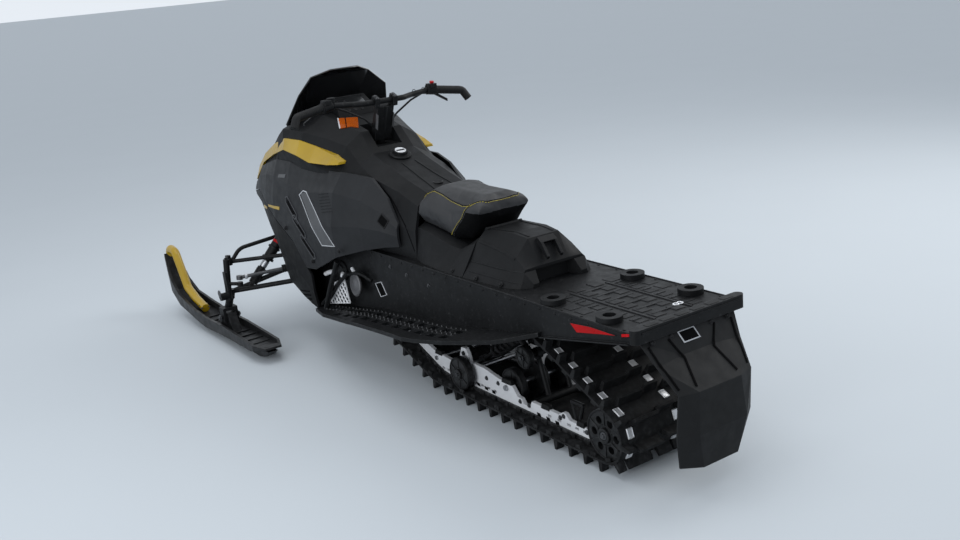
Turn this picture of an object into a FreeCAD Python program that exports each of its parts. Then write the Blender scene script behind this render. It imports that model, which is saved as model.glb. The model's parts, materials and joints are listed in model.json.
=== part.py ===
import FreeCAD, Part
import math
import os

V = FreeCAD.Vector
os.makedirs("parts", exist_ok=True)

# Sizes in mm. Stations are measured forward from a datum 30 mm ahead of the
# rear axle of the track. Every finished piece is moved back by origin_x, so
# that the frame's origin lies in the middle of the footprint.
flap_rear_x = -346.0
ski_tip_x = 2905.0
origin_x = (flap_rear_x + ski_tip_x) / 2.0
fit_gap = 0.3

# Track loop
track_links = 52
track_half = 190.0
belt = 7.0
lug_height = 32.0
belt_floor = lug_height + belt
rear_axle_x = -30.0
rear_wheel_r = 82.0
rear_axle_z = belt_floor + rear_wheel_r
sprocket_r = 76.0
drive_x = 1537.0
drive_z = 362.0
drive_shaft_r = 22.0
carrier_x = 450.0
carrier_z = 378.0
carrier_r = 60.0
approach_x = 880.0
approach_r = 260.0
idler_r = 62.0
idler_z = belt_floor + idler_r + fit_gap

# Rails
rail_in = 118.0
rail_out = 132.0
slide_tall = 11.0
rear_shaft_r = 12.5
idler_shaft_r = 10.0
skid_shaft_r = 8.0
front_idler_x = 770.0
middle_idler_x = 535.0
front_pivot = (1150.0, 385.0)
front_foot = (790.0, 165.0)
rear_pivot = (700.0, 392.0)
knee = (452.0, 228.0)
rear_foot = (404.0, 74.0)

# Tunnel and boards
tunnel_gap = 18.0
tunnel_half = track_half + tunnel_gap
sheet = 4.0
tunnel_top = 494.0
tunnel_rear_x = -205.0
tunnel_front_x = 1670.0
tunnel_edge = [(tunnel_rear_x, 468.0), (219.0, 390.0), (344.0, 357.0), (694.0, 302.0),
               (1177.0, 256.0), (tunnel_front_x, 178.0)]
board_tall = 14.0
board_rear_x = 205.0

# Rings that take clip-on luggage
ring_x = (187.0, -72.0)
ring_y = tunnel_half - 43.0
ring_bore = 20.0
ring_r = 40.0
ring_tall = 18.0

# Storage case
case_tall = 51.0
lid_tall = 96.0
lid_seam = tunnel_top + case_tall
lid_front_x = 650.0
lid_top = lid_seam + lid_tall
hinge_r = 6.0
lid_hinge = V(lid_front_x, 0, lid_top)
lid_limit = 55.0

# Steering
post_low = V(1470, 0, 864)
post_top = V(1393, 0, 1040)
post_r = 18.0
bar_r = 11.0
steer_limit = 35.0
ski_ratio = 0.8

# Front end
stance_half = 500.0
ski_half = 64.0
king_top = V(2160, 466, 350)
king_low = V(2160, 478, 215)
ski_bolt = V(2162, stance_half, 106)
pin_r = 8.0
eye_r = 19.0
eye_half = 12.0
upright_off = V(-34, 22, 0)
upright_r = 14.0
tie_end = V(2082, 454, 290)
tie_gap = 11.0
runner_tall = 8.0
ski_wall = 12.0
loop_r = 20.0
shock_y = 394.0

# Body stations: x, then the left half outline as y, z pairs from the bottom up
body_wall = 10.0
console_rows = [
    (990.3, [(168, tunnel_top), (162, 600), (138, 690), (90, 730)]),
    (1120.0, [(172, tunnel_top), (174, 615), (140, 730), (92, 765)]),
    (1260.0, [(185, tunnel_top), (195, 690), (165, 772), (92, 808)]),
    (1372.0, [(200, tunnel_top), (222, 745), (155, 812), (95, 845)]),
    (1453.0, [(206, tunnel_top), (234, 775), (162, 880), (92, 925)]),
    (1560.0, [(208, tunnel_top), (250, 800), (185, 905), (100, 950)]),
    (1700.0, [(208, tunnel_top), (262, 830), (225, 930), (125, 985)]),
    (1850.0, [(208, tunnel_top), (262, 850), (246, 937), (140, 978)]),
    (1920.0, [(208, tunnel_top), (256, 835), (238, 905), (135, 952)]),
    (2000.0, [(208, tunnel_top), (243, 705), (225, 865), (120, 905)]),
]
hood_rows = [
    (2000.3, [(243, 705), (225, 865), (120, 905)]),
    (2190.0, [(222, 690), (195, 782), (110, 832)]),
    (2330.0, [(195, 640), (172, 702), (95, 748)]),
    (2440.0, [(112, 603), (100, 650), (60, 674)]),
]
pan_rows = [
    (tunnel_front_x, [(225, 153), (282, 185), (292, 260), (294, 338)]),
    (1800.0, [(220, 168), (280, 215), (297, 340), (300, 470)]),
    (1950.0, [(200, 202), (272, 262), (294, 400), (298, 540)]),
    (2060.0, [(180, 300), (255, 400), (282, 500), (285, 590)]),
    (2200.0, [(150, 480), (215, 532), (248, 580), (250, 636)]),
    (2378.0, [(110, 545), (170, 569), (195, 585), (197, 604)]),
    (2440.0, [(70, 575), (95, 585), (108, 592), (110, 598)]),
]
panel_rows = [
    (1085.0, [(184, 530), (188, 570), (186, 600), (178, 618)]),
    (1150.0, [(208, 523), (222, 590), (210, 660), (175, 708)]),
    (1240.0, [(250, 507), (262, 600), (240, 700), (182, 777)]),
    (1400.0, [(300, 462), (302, 590), (276, 720), (226, 792)]),
    (1600.0, [(300, 378), (308, 560), (286, 700), (244, 792)]),
    (1700.0, [(295, 366), (306, 560), (288, 700), (254, 786)]),
    (1800.0, [(300, 474), (304, 600), (286, 710), (258, 804)]),
    (1950.0, [(298, 544), (297, 640), (277, 730), (252, 800)]),
    (2060.0, [(285, 594), (281, 660), (264, 725), (240, 775)]),
    (2200.0, [(250, 640), (246, 668), (238, 700), (219, 742)]),
    (2370.0, [(200, 608), (196, 625), (188, 645), (172, 662)]),
]
# Bright upper panels: x, then low y, low z, high y, high z of their outer face
blade_rows = [
    (1428.0, 222, 818, 216, 828),
    (1475.0, 250, 818, 212, 850),
    (1606.0, 264, 818, 222, 878),
    (1706.0, 270, 840, 244, 898),
    (1827.0, 270, 854, 256, 900),
    (1990.0, 248, 816, 234, 862),
    (2190.0, 214, 758, 200, 796),
    (2330.0, 202, 664, 178, 724),
    (2436.0, 118, 610, 104, 668),
]


def save(name, shape):
    placed = shape.copy()
    placed.translate(V(-origin_x, 0, 0))
    placed.exportStep("parts/" + name + ".step")


def box(x0, x1, y0, y1, z0, z1):
    return Part.makeBox(x1 - x0, y1 - y0, z1 - z0, V(x0, y0, z0))


def rod(a, b, r):
    return Part.makeCylinder(r, (b - a).Length, a, b - a)


def across(spot, half, r):
    # round bar across the sled, the same length on both sides of the middle
    return rod(V(spot[0], -half, spot[1]), V(spot[0], half, spot[1]), r)


def disc(spot, y0, y1, r):
    return rod(V(spot[0], y0, spot[1]), V(spot[0], y1, spot[1]), r)


def polygon(points):
    return Part.makePolygon(points + [points[0]])


def slab_y(outline, y0, y1):
    face = Part.Face(polygon([V(x, y0, z) for x, z in outline]))
    return face.extrude(V(0, y1 - y0, 0))


def slab_z(outline, z0, z1):
    face = Part.Face(polygon([V(x, y, z0) for x, y in outline]))
    return face.extrude(V(0, 0, z1 - z0))


def mirrored(shape):
    return shape.mirror(V(0, 0, 0), V(0, 1, 0))


def both(shape):
    return Part.makeCompound([shape, mirrored(shape)])


def fused(shapes):
    return shapes[0].multiFuse(shapes[1:]).removeSplitter()


def loft(sections):
    return Part.makeLoft([polygon(s) for s in sections], True, True)


def ribs(rows):
    # closed solid through symmetric stations
    sections = []
    for x, pairs in rows:
        left = [V(x, y, z) for y, z in pairs]
        right = [V(x, -y, z) for y, z in reversed(pairs)]
        sections.append(left + right)
    return loft(sections)


def hollow(rows, lift):
    # room inside a shell: lifted by one wall it leaves a floor, lowered a roof
    return ribs([(x, [(y - body_wall, z + lift) for y, z in pairs]) for x, pairs in rows])


def skin(rows, wall):
    # one-sided panel through open stations
    sections = []
    for x, pairs in rows:
        outer = [V(x, y, z) for y, z in pairs]
        inner = [V(x, y - wall, z) for y, z in reversed(pairs)]
        sections.append(outer + inner)
    return loft(sections)


def facets(corners, faces, push):
    # folded sheet: flat facets between named corners, all given the same push
    parts = []
    for names in faces:
        face = Part.Face(polygon([corners[n] for n in names]))
        parts.append(face.extrude(push))
    return fused(parts)


def tube(points, r, bend):
    # a round bar along straight runs joined by tangent arcs
    edges = []
    start = points[0]
    for i in range(1, len(points) - 1):
        into = (points[i] - points[i - 1]).normalize()
        out = (points[i + 1] - points[i]).normalize()
        turn = into.getAngle(out)
        cut = bend * math.tan(turn / 2.0)
        a = points[i] - into * cut
        b = points[i] + out * cut
        toward = (out - into).normalize()
        centre_reach = bend / math.cos(turn / 2.0)
        mid = points[i] + toward * (centre_reach - bend)
        edges.append(Part.makeLine(start, a))
        edges.append(Part.Arc(a, mid, b).toShape())
        start = b
    edges.append(Part.makeLine(start, points[-1]))
    path = Part.Wire(edges)
    circle = Part.makeCircle(r, points[0], points[1] - points[0])
    return path.makePipeShell([Part.Wire([circle])], True, False)


def edge_z(x):
    # height of the tunnel's lower edge, which rises to the rear
    for (x0, z0), (x1, z1) in zip(tunnel_edge, tunnel_edge[1:]):
        if x <= x1:
            return z0 + (z1 - z0) * (x - x0) / (x1 - x0)
    return tunnel_edge[-1][1]


def tangent_angle(c0, r0, c1, r1):
    # direction of the outer common tangent that lies on the left of both circles
    dx = c1[0] - c0[0]
    dz = c1[1] - c0[1]
    return math.atan2(dz, dx) - math.asin((r1 - r0) / math.hypot(dx, dz))


def run_z(x, inset):
    # height of a line kept at an inset above the inner face of the lower run
    centre_z = belt_floor + approach_r
    angle = tangent_angle((approach_x, centre_z), approach_r, (drive_x, drive_z), sprocket_r)
    r = approach_r - inset
    reach = r * math.sin(angle)
    if x <= approach_x:
        return centre_z - r
    if x < approach_x + reach:
        return centre_z - math.sqrt(r * r - (x - approach_x) ** 2)
    return centre_z - r * math.cos(angle) + (x - approach_x - reach) * math.tan(angle)


def belt_wire(offset):
    # loop round the wheels: centre x, centre z, radius, in counter-clockwise order
    wheels = [
        (rear_axle_x, rear_axle_z, rear_wheel_r),
        (approach_x, belt_floor + approach_r, approach_r),
        (drive_x, drive_z, sprocket_r),
        (carrier_x, carrier_z, carrier_r),
    ]
    rounds = [((x, z), r + offset) for x, z, r in wheels]
    ends = []
    for i, (c0, r0) in enumerate(rounds):
        c1, r1 = rounds[(i + 1) % len(rounds)]
        angle = tangent_angle(c0, r0, c1, r1)
        side = (math.sin(angle), -math.cos(angle))
        ends.append((c0[0] + side[0] * r0, c0[1] + side[1] * r0,
                     c1[0] + side[0] * r1, c1[1] + side[1] * r1))
    edges = []
    for i, (c1, r1) in enumerate(rounds):
        x0, z0, x1, z1 = ends[i - 1]
        a = V(x0, 0, z0)
        b = V(x1, 0, z1)
        c = V(ends[i][0], 0, ends[i][1])
        centre = V(c1[0], 0, c1[1])
        out = (b - centre) + (c - centre)
        mid = centre + out.normalize() * r1
        edges.append(Part.makeLine(a, b))
        edges.append(Part.Arc(b, mid, c).toShape())
    return Part.Wire(edges)


def point_on(wire, at):
    # place and direction at a length along a closed wire
    for edge in wire.OrderedEdges:
        if at <= edge.Length:
            forward = edge.Orientation == "Forward"
            reach = at if forward else edge.Length - at
            u = edge.getParameterByLength(reach)
            along = edge.tangentAt(u)
            if not forward:
                along = along * -1.0
            return edge.valueAt(u), along
        at -= edge.Length
    last = wire.OrderedEdges[-1]
    return last.valueAt(last.LastParameter), last.tangentAt(last.LastParameter)


def make_track():
    inner = belt_wire(0.0)
    outer = belt_wire(belt)
    wide = V(0, 2 * track_half, 0)
    body = Part.Face(outer).extrude(wide).cut(Part.Face(inner).extrude(wide))
    body.translate(V(0, -track_half, 0))
    pitch = outer.Length / track_links
    print("track length", round(outer.Length, 1), "pitch", round(pitch, 2))
    # paddle columns on the left half: start and end as shares of the half width, shift in pitches
    columns = [(0.24, 0.74, 0.14), (0.85, 1.0, 0.0)]
    spans = [(-0.14 * track_half, 0.14 * track_half, 0.0)]
    for y0, y1, shift in columns:
        spans.append((y0 * track_half, y1 * track_half, shift))
        spans.append((-y1 * track_half, -y0 * track_half, shift))
    lugs = []
    for y0, y1, shift in spans:
        for i in range(track_links):
            at = ((i + shift) * pitch) % outer.Length
            spot, along = point_on(outer, at)
            out = V(along.z, 0, -along.x)
            base = spot - out * 1.0
            tip = spot + out * lug_height
            quad = polygon([base - along * 9.0, base + along * 9.0, tip + along * 5.0, tip - along * 5.0])
            lug = Part.Face(quad).extrude(V(0, y1 - y0, 0))
            lug.translate(V(0, y0, 0))
            lugs.append(lug)
    save("track", body.multiFuse(lugs))


def make_wheels():
    lighten = rear_wheel_r * 0.6
    rear = []
    # rear wheels: inner y, width, number of round windows
    for y, wide, windows in [(152.0, 24.0, 6), (22.0, 24.0, 0)]:
        spot = (rear_axle_x, rear_axle_z)
        body = disc(spot, y, y + wide, rear_wheel_r - fit_gap)
        body = body.cut(disc(spot, y, y + wide, rear_shaft_r + fit_gap))
        for i in range(windows):
            turn = math.radians(360.0 * i / windows)
            hole = (spot[0] + lighten * math.cos(turn), spot[1] + lighten * math.sin(turn))
            body = body.cut(disc(hole, y, y + wide, 13.0))
        rear += [body, mirrored(body)]
    save("rear_wheels", Part.makeCompound(rear))
    idlers = []
    # idler wheels: x, z, radius, shaft radius, list of inner y, width
    rows = [
        (front_idler_x, idler_z, idler_r, idler_shaft_r, [150.0], 24.0),
        (middle_idler_x, idler_z, idler_r, idler_shaft_r, [84.0], 24.0),
        (carrier_x, carrier_z, carrier_r - fit_gap, idler_shaft_r, [142.0], 24.0),
        (knee[0], knee[1], 40.0, 12.0, [92.0], 20.0),
    ]
    for x, z, r, shaft, spots, wide in rows:
        for y in spots:
            body = disc((x, z), y, y + wide, r).cut(disc((x, z), y, y + wide, shaft + fit_gap))
            idlers += [body, mirrored(body)]
    spot = (middle_idler_x, idler_z)
    idlers.append(across(spot, 12.0, idler_r).cut(across(spot, 12.0, idler_shaft_r + fit_gap)))
    save("idler_wheels", Part.makeCompound(idlers))
    reach = tunnel_half - sheet - fit_gap
    shafts = [
        across((rear_axle_x, rear_axle_z), track_half - 10, rear_shaft_r),
        across((front_idler_x, idler_z), track_half - 12, idler_shaft_r),
        across((middle_idler_x, idler_z), rail_out + 8, idler_shaft_r),
        across((carrier_x, carrier_z), reach, idler_shaft_r),
        across((985.0, 97.0), rail_out + 6, skid_shaft_r),
        across((860.0, 84.0), rail_out + 6, skid_shaft_r),
    ]
    save("wheel_shafts", Part.makeCompound(shafts))
    spot = (drive_x, drive_z)
    drive = across(spot, tunnel_half, drive_shaft_r)
    wheel = disc(spot, 88.0, 112.0, sprocket_r - fit_gap)
    save("drive_axle", fused([drive, wheel, mirrored(wheel)]))


def make_rails():
    low = [(x, run_z(x, slide_tall)) for x in (60.0, 880.0, 940.0, 990.0, 1050.0, 1185.0)]
    ear = front_foot
    high = [(1190.0, run_z(1190.0, slide_tall) + 22), (1178.0, run_z(1178.0, slide_tall) + 36),
            (1114.0, run_z(1114.0, slide_tall) + 38), (1002.0, 124.0), (885.0, 112.0), (828.0, 116.0),
            (ear[0] + 26, ear[1] - 8), (ear[0] + 14, ear[1] + 20), (ear[0] - 14, ear[1] + 22),
            (ear[0] - 27, ear[1] + 2), (748.0, 128.0), (735.0, 140.0), (665.0, 138.0),
            (575.0, 122.0), (505.0, 120.0), (474.0, 86.0), (452.0, 84.0), (440.0, 68.0),
            (404.0, 68.0), (394.0, 90.0), (250.0, 88.0), (228.0, 102.0), (214.0, 102.0), (196.0, 84.0),
            (90.0, 82.0), (20.0, 140.0), (-10.0, 148.0), (-58.0, 148.0), (-64.0, 138.0),
            (-64.0, 104.0), (-20.0, 78.0)]
    rail = slab_y(low + high, rail_in, rail_out)
    # shafts through the rail: x, z, radius
    bores = [
        (rear_axle_x, rear_axle_z, rear_shaft_r),
        (front_idler_x, idler_z, idler_shaft_r),
        (middle_idler_x, idler_z, idler_shaft_r),
        (front_foot[0], front_foot[1], skid_shaft_r),
        (985.0, 97.0, skid_shaft_r),
        (860.0, 84.0, skid_shaft_r),
    ]
    for x, z, r in bores:
        rail = rail.cut(disc((x, z), rail_in, rail_out, r + fit_gap))
    for x in (110, 150, 190, 240, 290, 600, 640, 680, 720, 900, 935):
        rail = rail.cut(box(x, x + 18, rail_in, rail_out, 62, 71))
    save("rails", both(rail))
    front = (940.0, 990.0, 1050.0, 1110.0)
    under = [(x, run_z(x, fit_gap)) for x in (40.0, 880.0) + front]
    over = [(x, run_z(x, slide_tall - fit_gap)) for x in (40.0, 880.0) + front]
    save("slides", both(slab_y(under + over[::-1], rail_in - 7, rail_out + 7)))


def make_skid():
    reach = tunnel_half - sheet - fit_gap
    inside = rail_in - fit_gap

    def leg(a, b, y, r):
        return rod(V(a[0], y, a[1]), V(b[0], y, b[1]), r)

    crank = (1100.0, front_pivot[1] - (front_pivot[0] - 1100.0) * 220.0 / 360.0)
    front = [across(front_pivot, reach, 13.0), across(crank, 95.0, 9.0)]
    for y in (95.0, -95.0):
        front.append(leg(front_pivot, front_foot, y, 11.0))
        y0 = min(y, y * inside / 95.0)
        front.append(disc(front_foot, y0, y0 + abs(inside - 95.0), 13.0))
        pin = rail_out + 6 if y > 0 else -rail_out - 6
        front.append(disc(front_foot, min(y, pin), max(y, pin), skid_shaft_r))
    lever = (540.0, rear_pivot[1] - (rear_pivot[0] - 540.0) * 164.0 / 248.0)
    rear = [across(rear_pivot, reach, 13.0), across(lever, 70.0, 9.0), across(knee, 116.0, 12.0)]
    rear += [leg(rear_pivot, knee, y, 11.0) for y in (70.0, -70.0)]
    link = [across(rear_foot, inside, 14.0)]
    for y in (48.0, -48.0):
        link.append(leg(rear_foot, knee, y, 9.0))
        link.append(disc(knee, y - 11, y + 11, 20.0))
    lower = fused(link).cut(across(knee, 64.0, 12.0 + fit_gap))
    save("skid_arms", Part.makeCompound([fused(front), fused(rear), lower]))
    shocks = []
    # coil shocks: lower eye, lower shaft radius, upper eye, upper shaft radius
    for low, low_r, up, up_r in [((985.0, 97.0), skid_shaft_r, crank, 9.0),
                                 ((860.0, 84.0), skid_shaft_r, lever, 9.0)]:
        a = V(low[0], 0, low[1])
        b = V(up[0], 0, up[1])
        way = (b - a).normalize()
        whole = [rod(a, b, 9.0), across(low, 13.0, 17.0), across(up, 13.0, 17.0)]
        first = 100.0
        last = (b - a).Length - 34.0
        whole.append(rod(a + way * first, a + way * last, 15.0))
        turns = 7
        for i in range(turns):
            at = a + way * (first + (last - first - 9.0) * i / (turns - 1))
            whole.append(rod(at, at + way * 9.0, 25.0))
        shock = fused(whole).cut(across(low, 14.0, low_r + fit_gap)).cut(across(up, 14.0, up_r + fit_gap))
        shocks.append(shock)
    save("skid_shocks", Part.makeCompound(shocks))


def make_tunnel():
    top = box(tunnel_rear_x, tunnel_front_x, -tunnel_half, tunnel_half, tunnel_top - sheet, tunnel_top)
    outline = [(tunnel_rear_x, tunnel_top)] + tunnel_edge + [(tunnel_front_x, tunnel_top)]
    side = slab_y(outline, tunnel_half - sheet, tunnel_half)
    side = side.cut(disc((drive_x, drive_z), 100, 300, drive_shaft_r + fit_gap))
    # lip turned outward under the bare rear part of each side
    lip_x = board_rear_x - 1.0
    lip = [tunnel_edge[0], (lip_x, edge_z(lip_x))]
    lip += [(x, z - sheet) for x, z in reversed(lip)]
    side = side.fuse(slab_y(lip, tunnel_half - sheet, tunnel_half + 12))
    parts = [top, side, mirrored(side)]
    rib = 3.0
    for y in (70.0, -78.0):
        parts.append(box(-165, 214, y, y + 8, tunnel_top - 1, tunnel_top + rib))
    for i in range(6):
        x = -130.0 + 62.0 * i
        for y0, y1 in [(92, 124), (-124, -92), (-50, 50)]:
            parts.append(box(x, x + 7, y0, y1, tunnel_top - 1, tunnel_top + rib))
    # plates that carry the nose, up from the pan's floor
    frame = box(tunnel_front_x, 1940, -tunnel_half, tunnel_half, 140, tunnel_top)
    frame = frame.cut(box(tunnel_front_x, 1936, -tunnel_half + sheet, tunnel_half - sheet, 140, 600))
    parts.append(frame.common(hollow(pan_rows, body_wall)))
    # bearing for the lower end of the steering post
    block = box(1585, 1668, -34, 34, tunnel_top - 1, tunnel_top + 44)
    up = (post_top - post_low).normalize()
    block = block.cut(rod(post_low - up * 500, post_low, post_r + fit_gap))
    parts.append(block)
    save("tunnel", fused(parts))


def make_boards():
    front_x = tunnel_front_x - fit_gap
    # outer edge: x, reach beyond the tunnel's side
    rim = [(front_x, 88), (1500, 137), (1200, 177), (900, 184), (760, 192), (540, 162), (300, 82),
           (board_rear_x, 14)]
    plan = [(front_x, tunnel_half + fit_gap)] + [(x, tunnel_half + y) for x, y in rim]
    plan.append((board_rear_x, tunnel_half + fit_gap))
    low = [(x, edge_z(x)) for x in (board_rear_x, 344.0, 694.0, 1177.0, front_x)]
    strip = slab_y(low + [(x, z + board_tall) for x, z in reversed(low)], 0, 2.2 * tunnel_half)
    board = slab_z(plan, 0, 900).common(strip)
    for i in range(13):
        x = 560.0 + 80.0 * i
        board = board.cut(box(x, x + 50, tunnel_half + 42, tunnel_half + 77, 0, 600))
        if x < 1400:
            board = board.cut(box(x, x + 50, tunnel_half + 102, tunnel_half + 137, 0, 600))
    # toe hold tube up to the side panel
    hold = tube([V(1600, 280, 196), V(1530, 282, 300), V(1420, 286, 440)], 11.0, 60.0)
    hold = hold.cut(skin(panel_rows, body_wall))
    piece = fused([board, hold])
    solids = sorted(piece.Solids, key=lambda s: s.Volume)
    save("running_boards", both(solids[-1]))


def make_rear():
    bar_x0 = tunnel_rear_x - fit_gap - 34.0
    bar_x1 = tunnel_rear_x - fit_gap
    bar_tall = 42.0
    mid_x = (bar_x0 + bar_x1) / 2.0
    end_y = tunnel_half - 4.0
    low = 470.0
    bar = box(bar_x0, bar_x1, -end_y, end_y, low, low + bar_tall)
    ends = [Part.makeCylinder(17.0, bar_tall, V(mid_x, y, low), V(0, 0, 1)) for y in (end_y, -end_y)]
    save("rear_bumper", fused([bar] + ends))
    top_z = low - fit_gap
    # corners of the flap's left half: name, x, y, z
    rows = [
        ("top_in", -222, 96, top_z), ("top_out", -214, 190, top_z - 2),
        ("high_in", -250, 60, 404), ("high_out", -258, 168, 398),
        ("crease_in", -334, 84, 322), ("crease_out", -316, 146, 322),
        ("low_in", flap_rear_x + 5, 96, 196), ("low_out", -306, 150, 192),
        ("foot_in", -326, 70, 84), ("foot_out", -286, 124, 84),
    ]
    corners = {}
    for name, x, y, z in rows:
        corners[name] = V(x, y, z)
        corners[name + "_r"] = V(x, -y, z)
    faces = []
    names = ["top", "high", "crease", "low", "foot"]
    for up, down in zip(names, names[1:]):
        faces.append((up + "_in", up + "_in_r", down + "_in_r", down + "_in"))
        for end in ("", "_r"):
            faces.append((up + "_in" + end, up + "_out" + end, down + "_in" + end))
            faces.append((up + "_out" + end, down + "_out" + end, down + "_in" + end))
    save("snow_flap", facets(corners, faces, V(-5, 0, 0)))
    rings = []
    for x in ring_x:
        for y in (ring_y, -ring_y):
            foot = V(x, y, tunnel_top)
            tip = V(x, y, tunnel_top + ring_tall)
            rings.append(rod(foot, tip, ring_r).cut(rod(foot, tip, ring_bore)))
    save("accessory_rings", Part.makeCompound(rings))


def make_seat():
    seat = ribs([
        (636.0, [(84, 694), (106, 700), (110, 710), (94, 724), (50, 738)]),
        (662.0, [(86, 664), (113, 690), (115, 718), (98, 732), (50, 750)]),
        (718.0, [(88, 599), (114, 640), (116, 706), (100, 722), (50, 749)]),
        (800.0, [(100, 586), (122, 640), (118, 696), (100, 725), (50, 750)]),
        (930.0, [(118, 618), (142, 660), (132, 712), (96, 750), (50, 757)]),
        (990.0, [(120, 628), (146, 668), (136, 700), (94, 734), (50, 739)]),
    ])
    save("seat", seat)
    deck = tunnel_top
    rear = ribs([
        (352.0, [(118, deck), (112, deck + 14), (60, deck + 14)]),
        (378.0, [(150, deck), (128, lid_seam), (60, lid_seam)]),
        (430.0, [(176, deck), (142, lid_seam), (60, lid_seam)]),
        (lid_front_x, [(194, deck), (152, lid_seam), (80, lid_seam)]),
    ])
    # dark niche below the lid's rear edge
    niche = slab_z([(330, -96), (330, 96), (404, 74), (404, -74)], deck, lid_seam)
    neck = lid_top - lid_tall * 0.14
    front = ribs([
        (lid_front_x + 3, [(194, deck), (124, 602), (82, neck)]),
        (740.0, [(198, deck), (130, 566), (94, 574)]),
        (800.0, [(196, deck), (134, 572), (98, 586 - fit_gap)]),
        (930.0, [(184, deck), (144, 604), (116, 618 - fit_gap)]),
        (990.0, [(168, deck), (148, 612), (118, 628 - fit_gap)]),
    ])
    joint = box(lid_front_x - 30, lid_front_x + 10, -120, 120, deck, lid_seam - 5)
    axle = (lid_hinge.x, lid_hinge.z)
    knuckles = []
    for y in (62.0, -76.0):
        knuckles.append(disc(axle, y, y + 14.0, hinge_r))
        knuckles.append(box(axle[0] + 3, axle[0] + 10, y, y + 14.0, neck - 6, axle[1]))
    whole = fused([rear.cut(niche), front, joint] + knuckles)
    save("storage_case", whole.cut(across(axle, 90.0, hinge_r / 2.0 + fit_gap)))
    seat_z = lid_seam + fit_gap
    # lid stations: x, then y and height above the seam
    rows = [
        (380.0, [(128, 0), (120, 8), (60, 10)]),
        (430.0, [(140, 0), (118, 40), (64, 94)]),
        (500.0, [(146, 0), (120, 44), (70, 102)]),
        (lid_front_x, [(152, 0), (120, 60), (80, lid_tall - fit_gap)]),
    ]
    lid = ribs([(x, [(y, seat_z + h) for y, h in pairs]) for x, pairs in rows])
    grip = slab_y([(376, seat_z + 24), (370, seat_z + 34), (400, seat_z + 78), (420, seat_z + 92),
                   (430, seat_z + 84)], -34, 34)
    recess = slab_y([(372, seat_z + 14), (388, seat_z + 26), (414, seat_z + 66), (402, seat_z + 78),
                     (356, seat_z + 54)], -24, 24)
    lid = fused([lid, grip]).cut(recess)
    for y in (62.0, -76.0):
        lid = lid.cut(box(axle[0] - 14, axle[0] + 14, y - 1, y + 15, axle[1] - 30, axle[1] + 20))
    lid = fused([lid, across(axle, 60.0, hinge_r), across(axle, 76.0, hinge_r / 2.0)])
    save("case_lid", lid)


def make_body():
    solid = ribs(console_rows)
    room = hollow(console_rows, -body_wall)
    # trough round the steering riser, open to the rear
    trough = slab_y([(1340, 864), (1545, 864), (1500, 1060), (1340, 1060)], -56, 56)
    lining = slab_y([(1340, 854), (1558, 854), (1510, 1060), (1340, 1060)], -66, 66)
    console = solid.cut(room).fuse(lining.common(solid)).cut(trough)
    console = console.cut(rod(post_low - (post_top - post_low) * 0.5, post_top, post_r + 6.0))
    save("console", console)
    nose = ribs(hood_rows)
    save("hood", nose.cut(hollow(hood_rows, -body_wall)))
    lamp = ribs([
        (2440.3, [(108, 606), (97, 648), (58, 670)]),
        (2462.0, [(86, 614), (78, 644), (48, 660)]),
    ])
    save("headlights", lamp)
    sections = []
    for x, y0, z0, y1, z1 in blade_rows:
        sections.append([V(x, y0, z0), V(x, y1, z1), V(x, y1 - 40, z1), V(x, y0 - 60, z0)])
    blade = loft(sections).cut(solid).cut(nose)
    blade = max(blade.Solids, key=lambda s: s.Volume)
    save("yellow_panels", both(blade))
    panel = skin(panel_rows, body_wall).cut(solid).cut(nose).cut(blade).cut(ribs(pan_rows))
    panel = max(panel.Solids, key=lambda s: s.Volume)
    save("side_panels", both(panel))
    pan = ribs(pan_rows).cut(hollow(pan_rows, body_wall))
    save("belly_pan", pan)
    top = V(1322, 0, 826)
    cap_way = V(-0.33, 0, 0.944)
    cap = fused([rod(top - cap_way * 20, top + cap_way * 14, 40.0), rod(top, top + cap_way * 24, 28.0)])
    save("fuel_cap", cap.cut(solid))
    gauge = slab_y([(1636, 960), (1720, 960), (1736, 1040), (1716, 1046), (1648, 1008)], -82, 82)
    save("gauge", gauge.cut(solid))
    shield_corners = {}
    for name, x, y, z in [("top", 1702, 64, 1162), ("shoulder", 1748, 136, 1138), ("wing", 1738, 206, 1072),
                          ("heel", 1816, 242, 950), ("toe", 1930, 112, 940)]:
        shield_corners[name] = V(x, y, z)
        shield_corners[name + "_r"] = V(x, -y, z)
    faces = [("top", "top_r", "shoulder_r", "shoulder"), ("shoulder", "shoulder_r", "toe_r", "toe")]
    for end in ("", "_r"):
        faces.append(("shoulder" + end, "wing" + end, "toe" + end))
        faces.append(("wing" + end, "heel" + end, "toe" + end))
    shield = facets(shield_corners, faces, V(3, 0, 3)).cut(solid)
    save("windshield", max(shield.Solids, key=lambda s: s.Volume))
    save("engine", box(1700, 1985, -190, 190, tunnel_top, 790))
    bumper = tube([V(2170, 160, 500), V(2390, 160, 520), V(2390, -160, 520), V(2170, -160, 500)], 12.0, 70.0)
    bumper = bumper.cut(ribs(pan_rows))
    save("front_bumper", max(bumper.Solids, key=lambda s: s.Volume))


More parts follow.
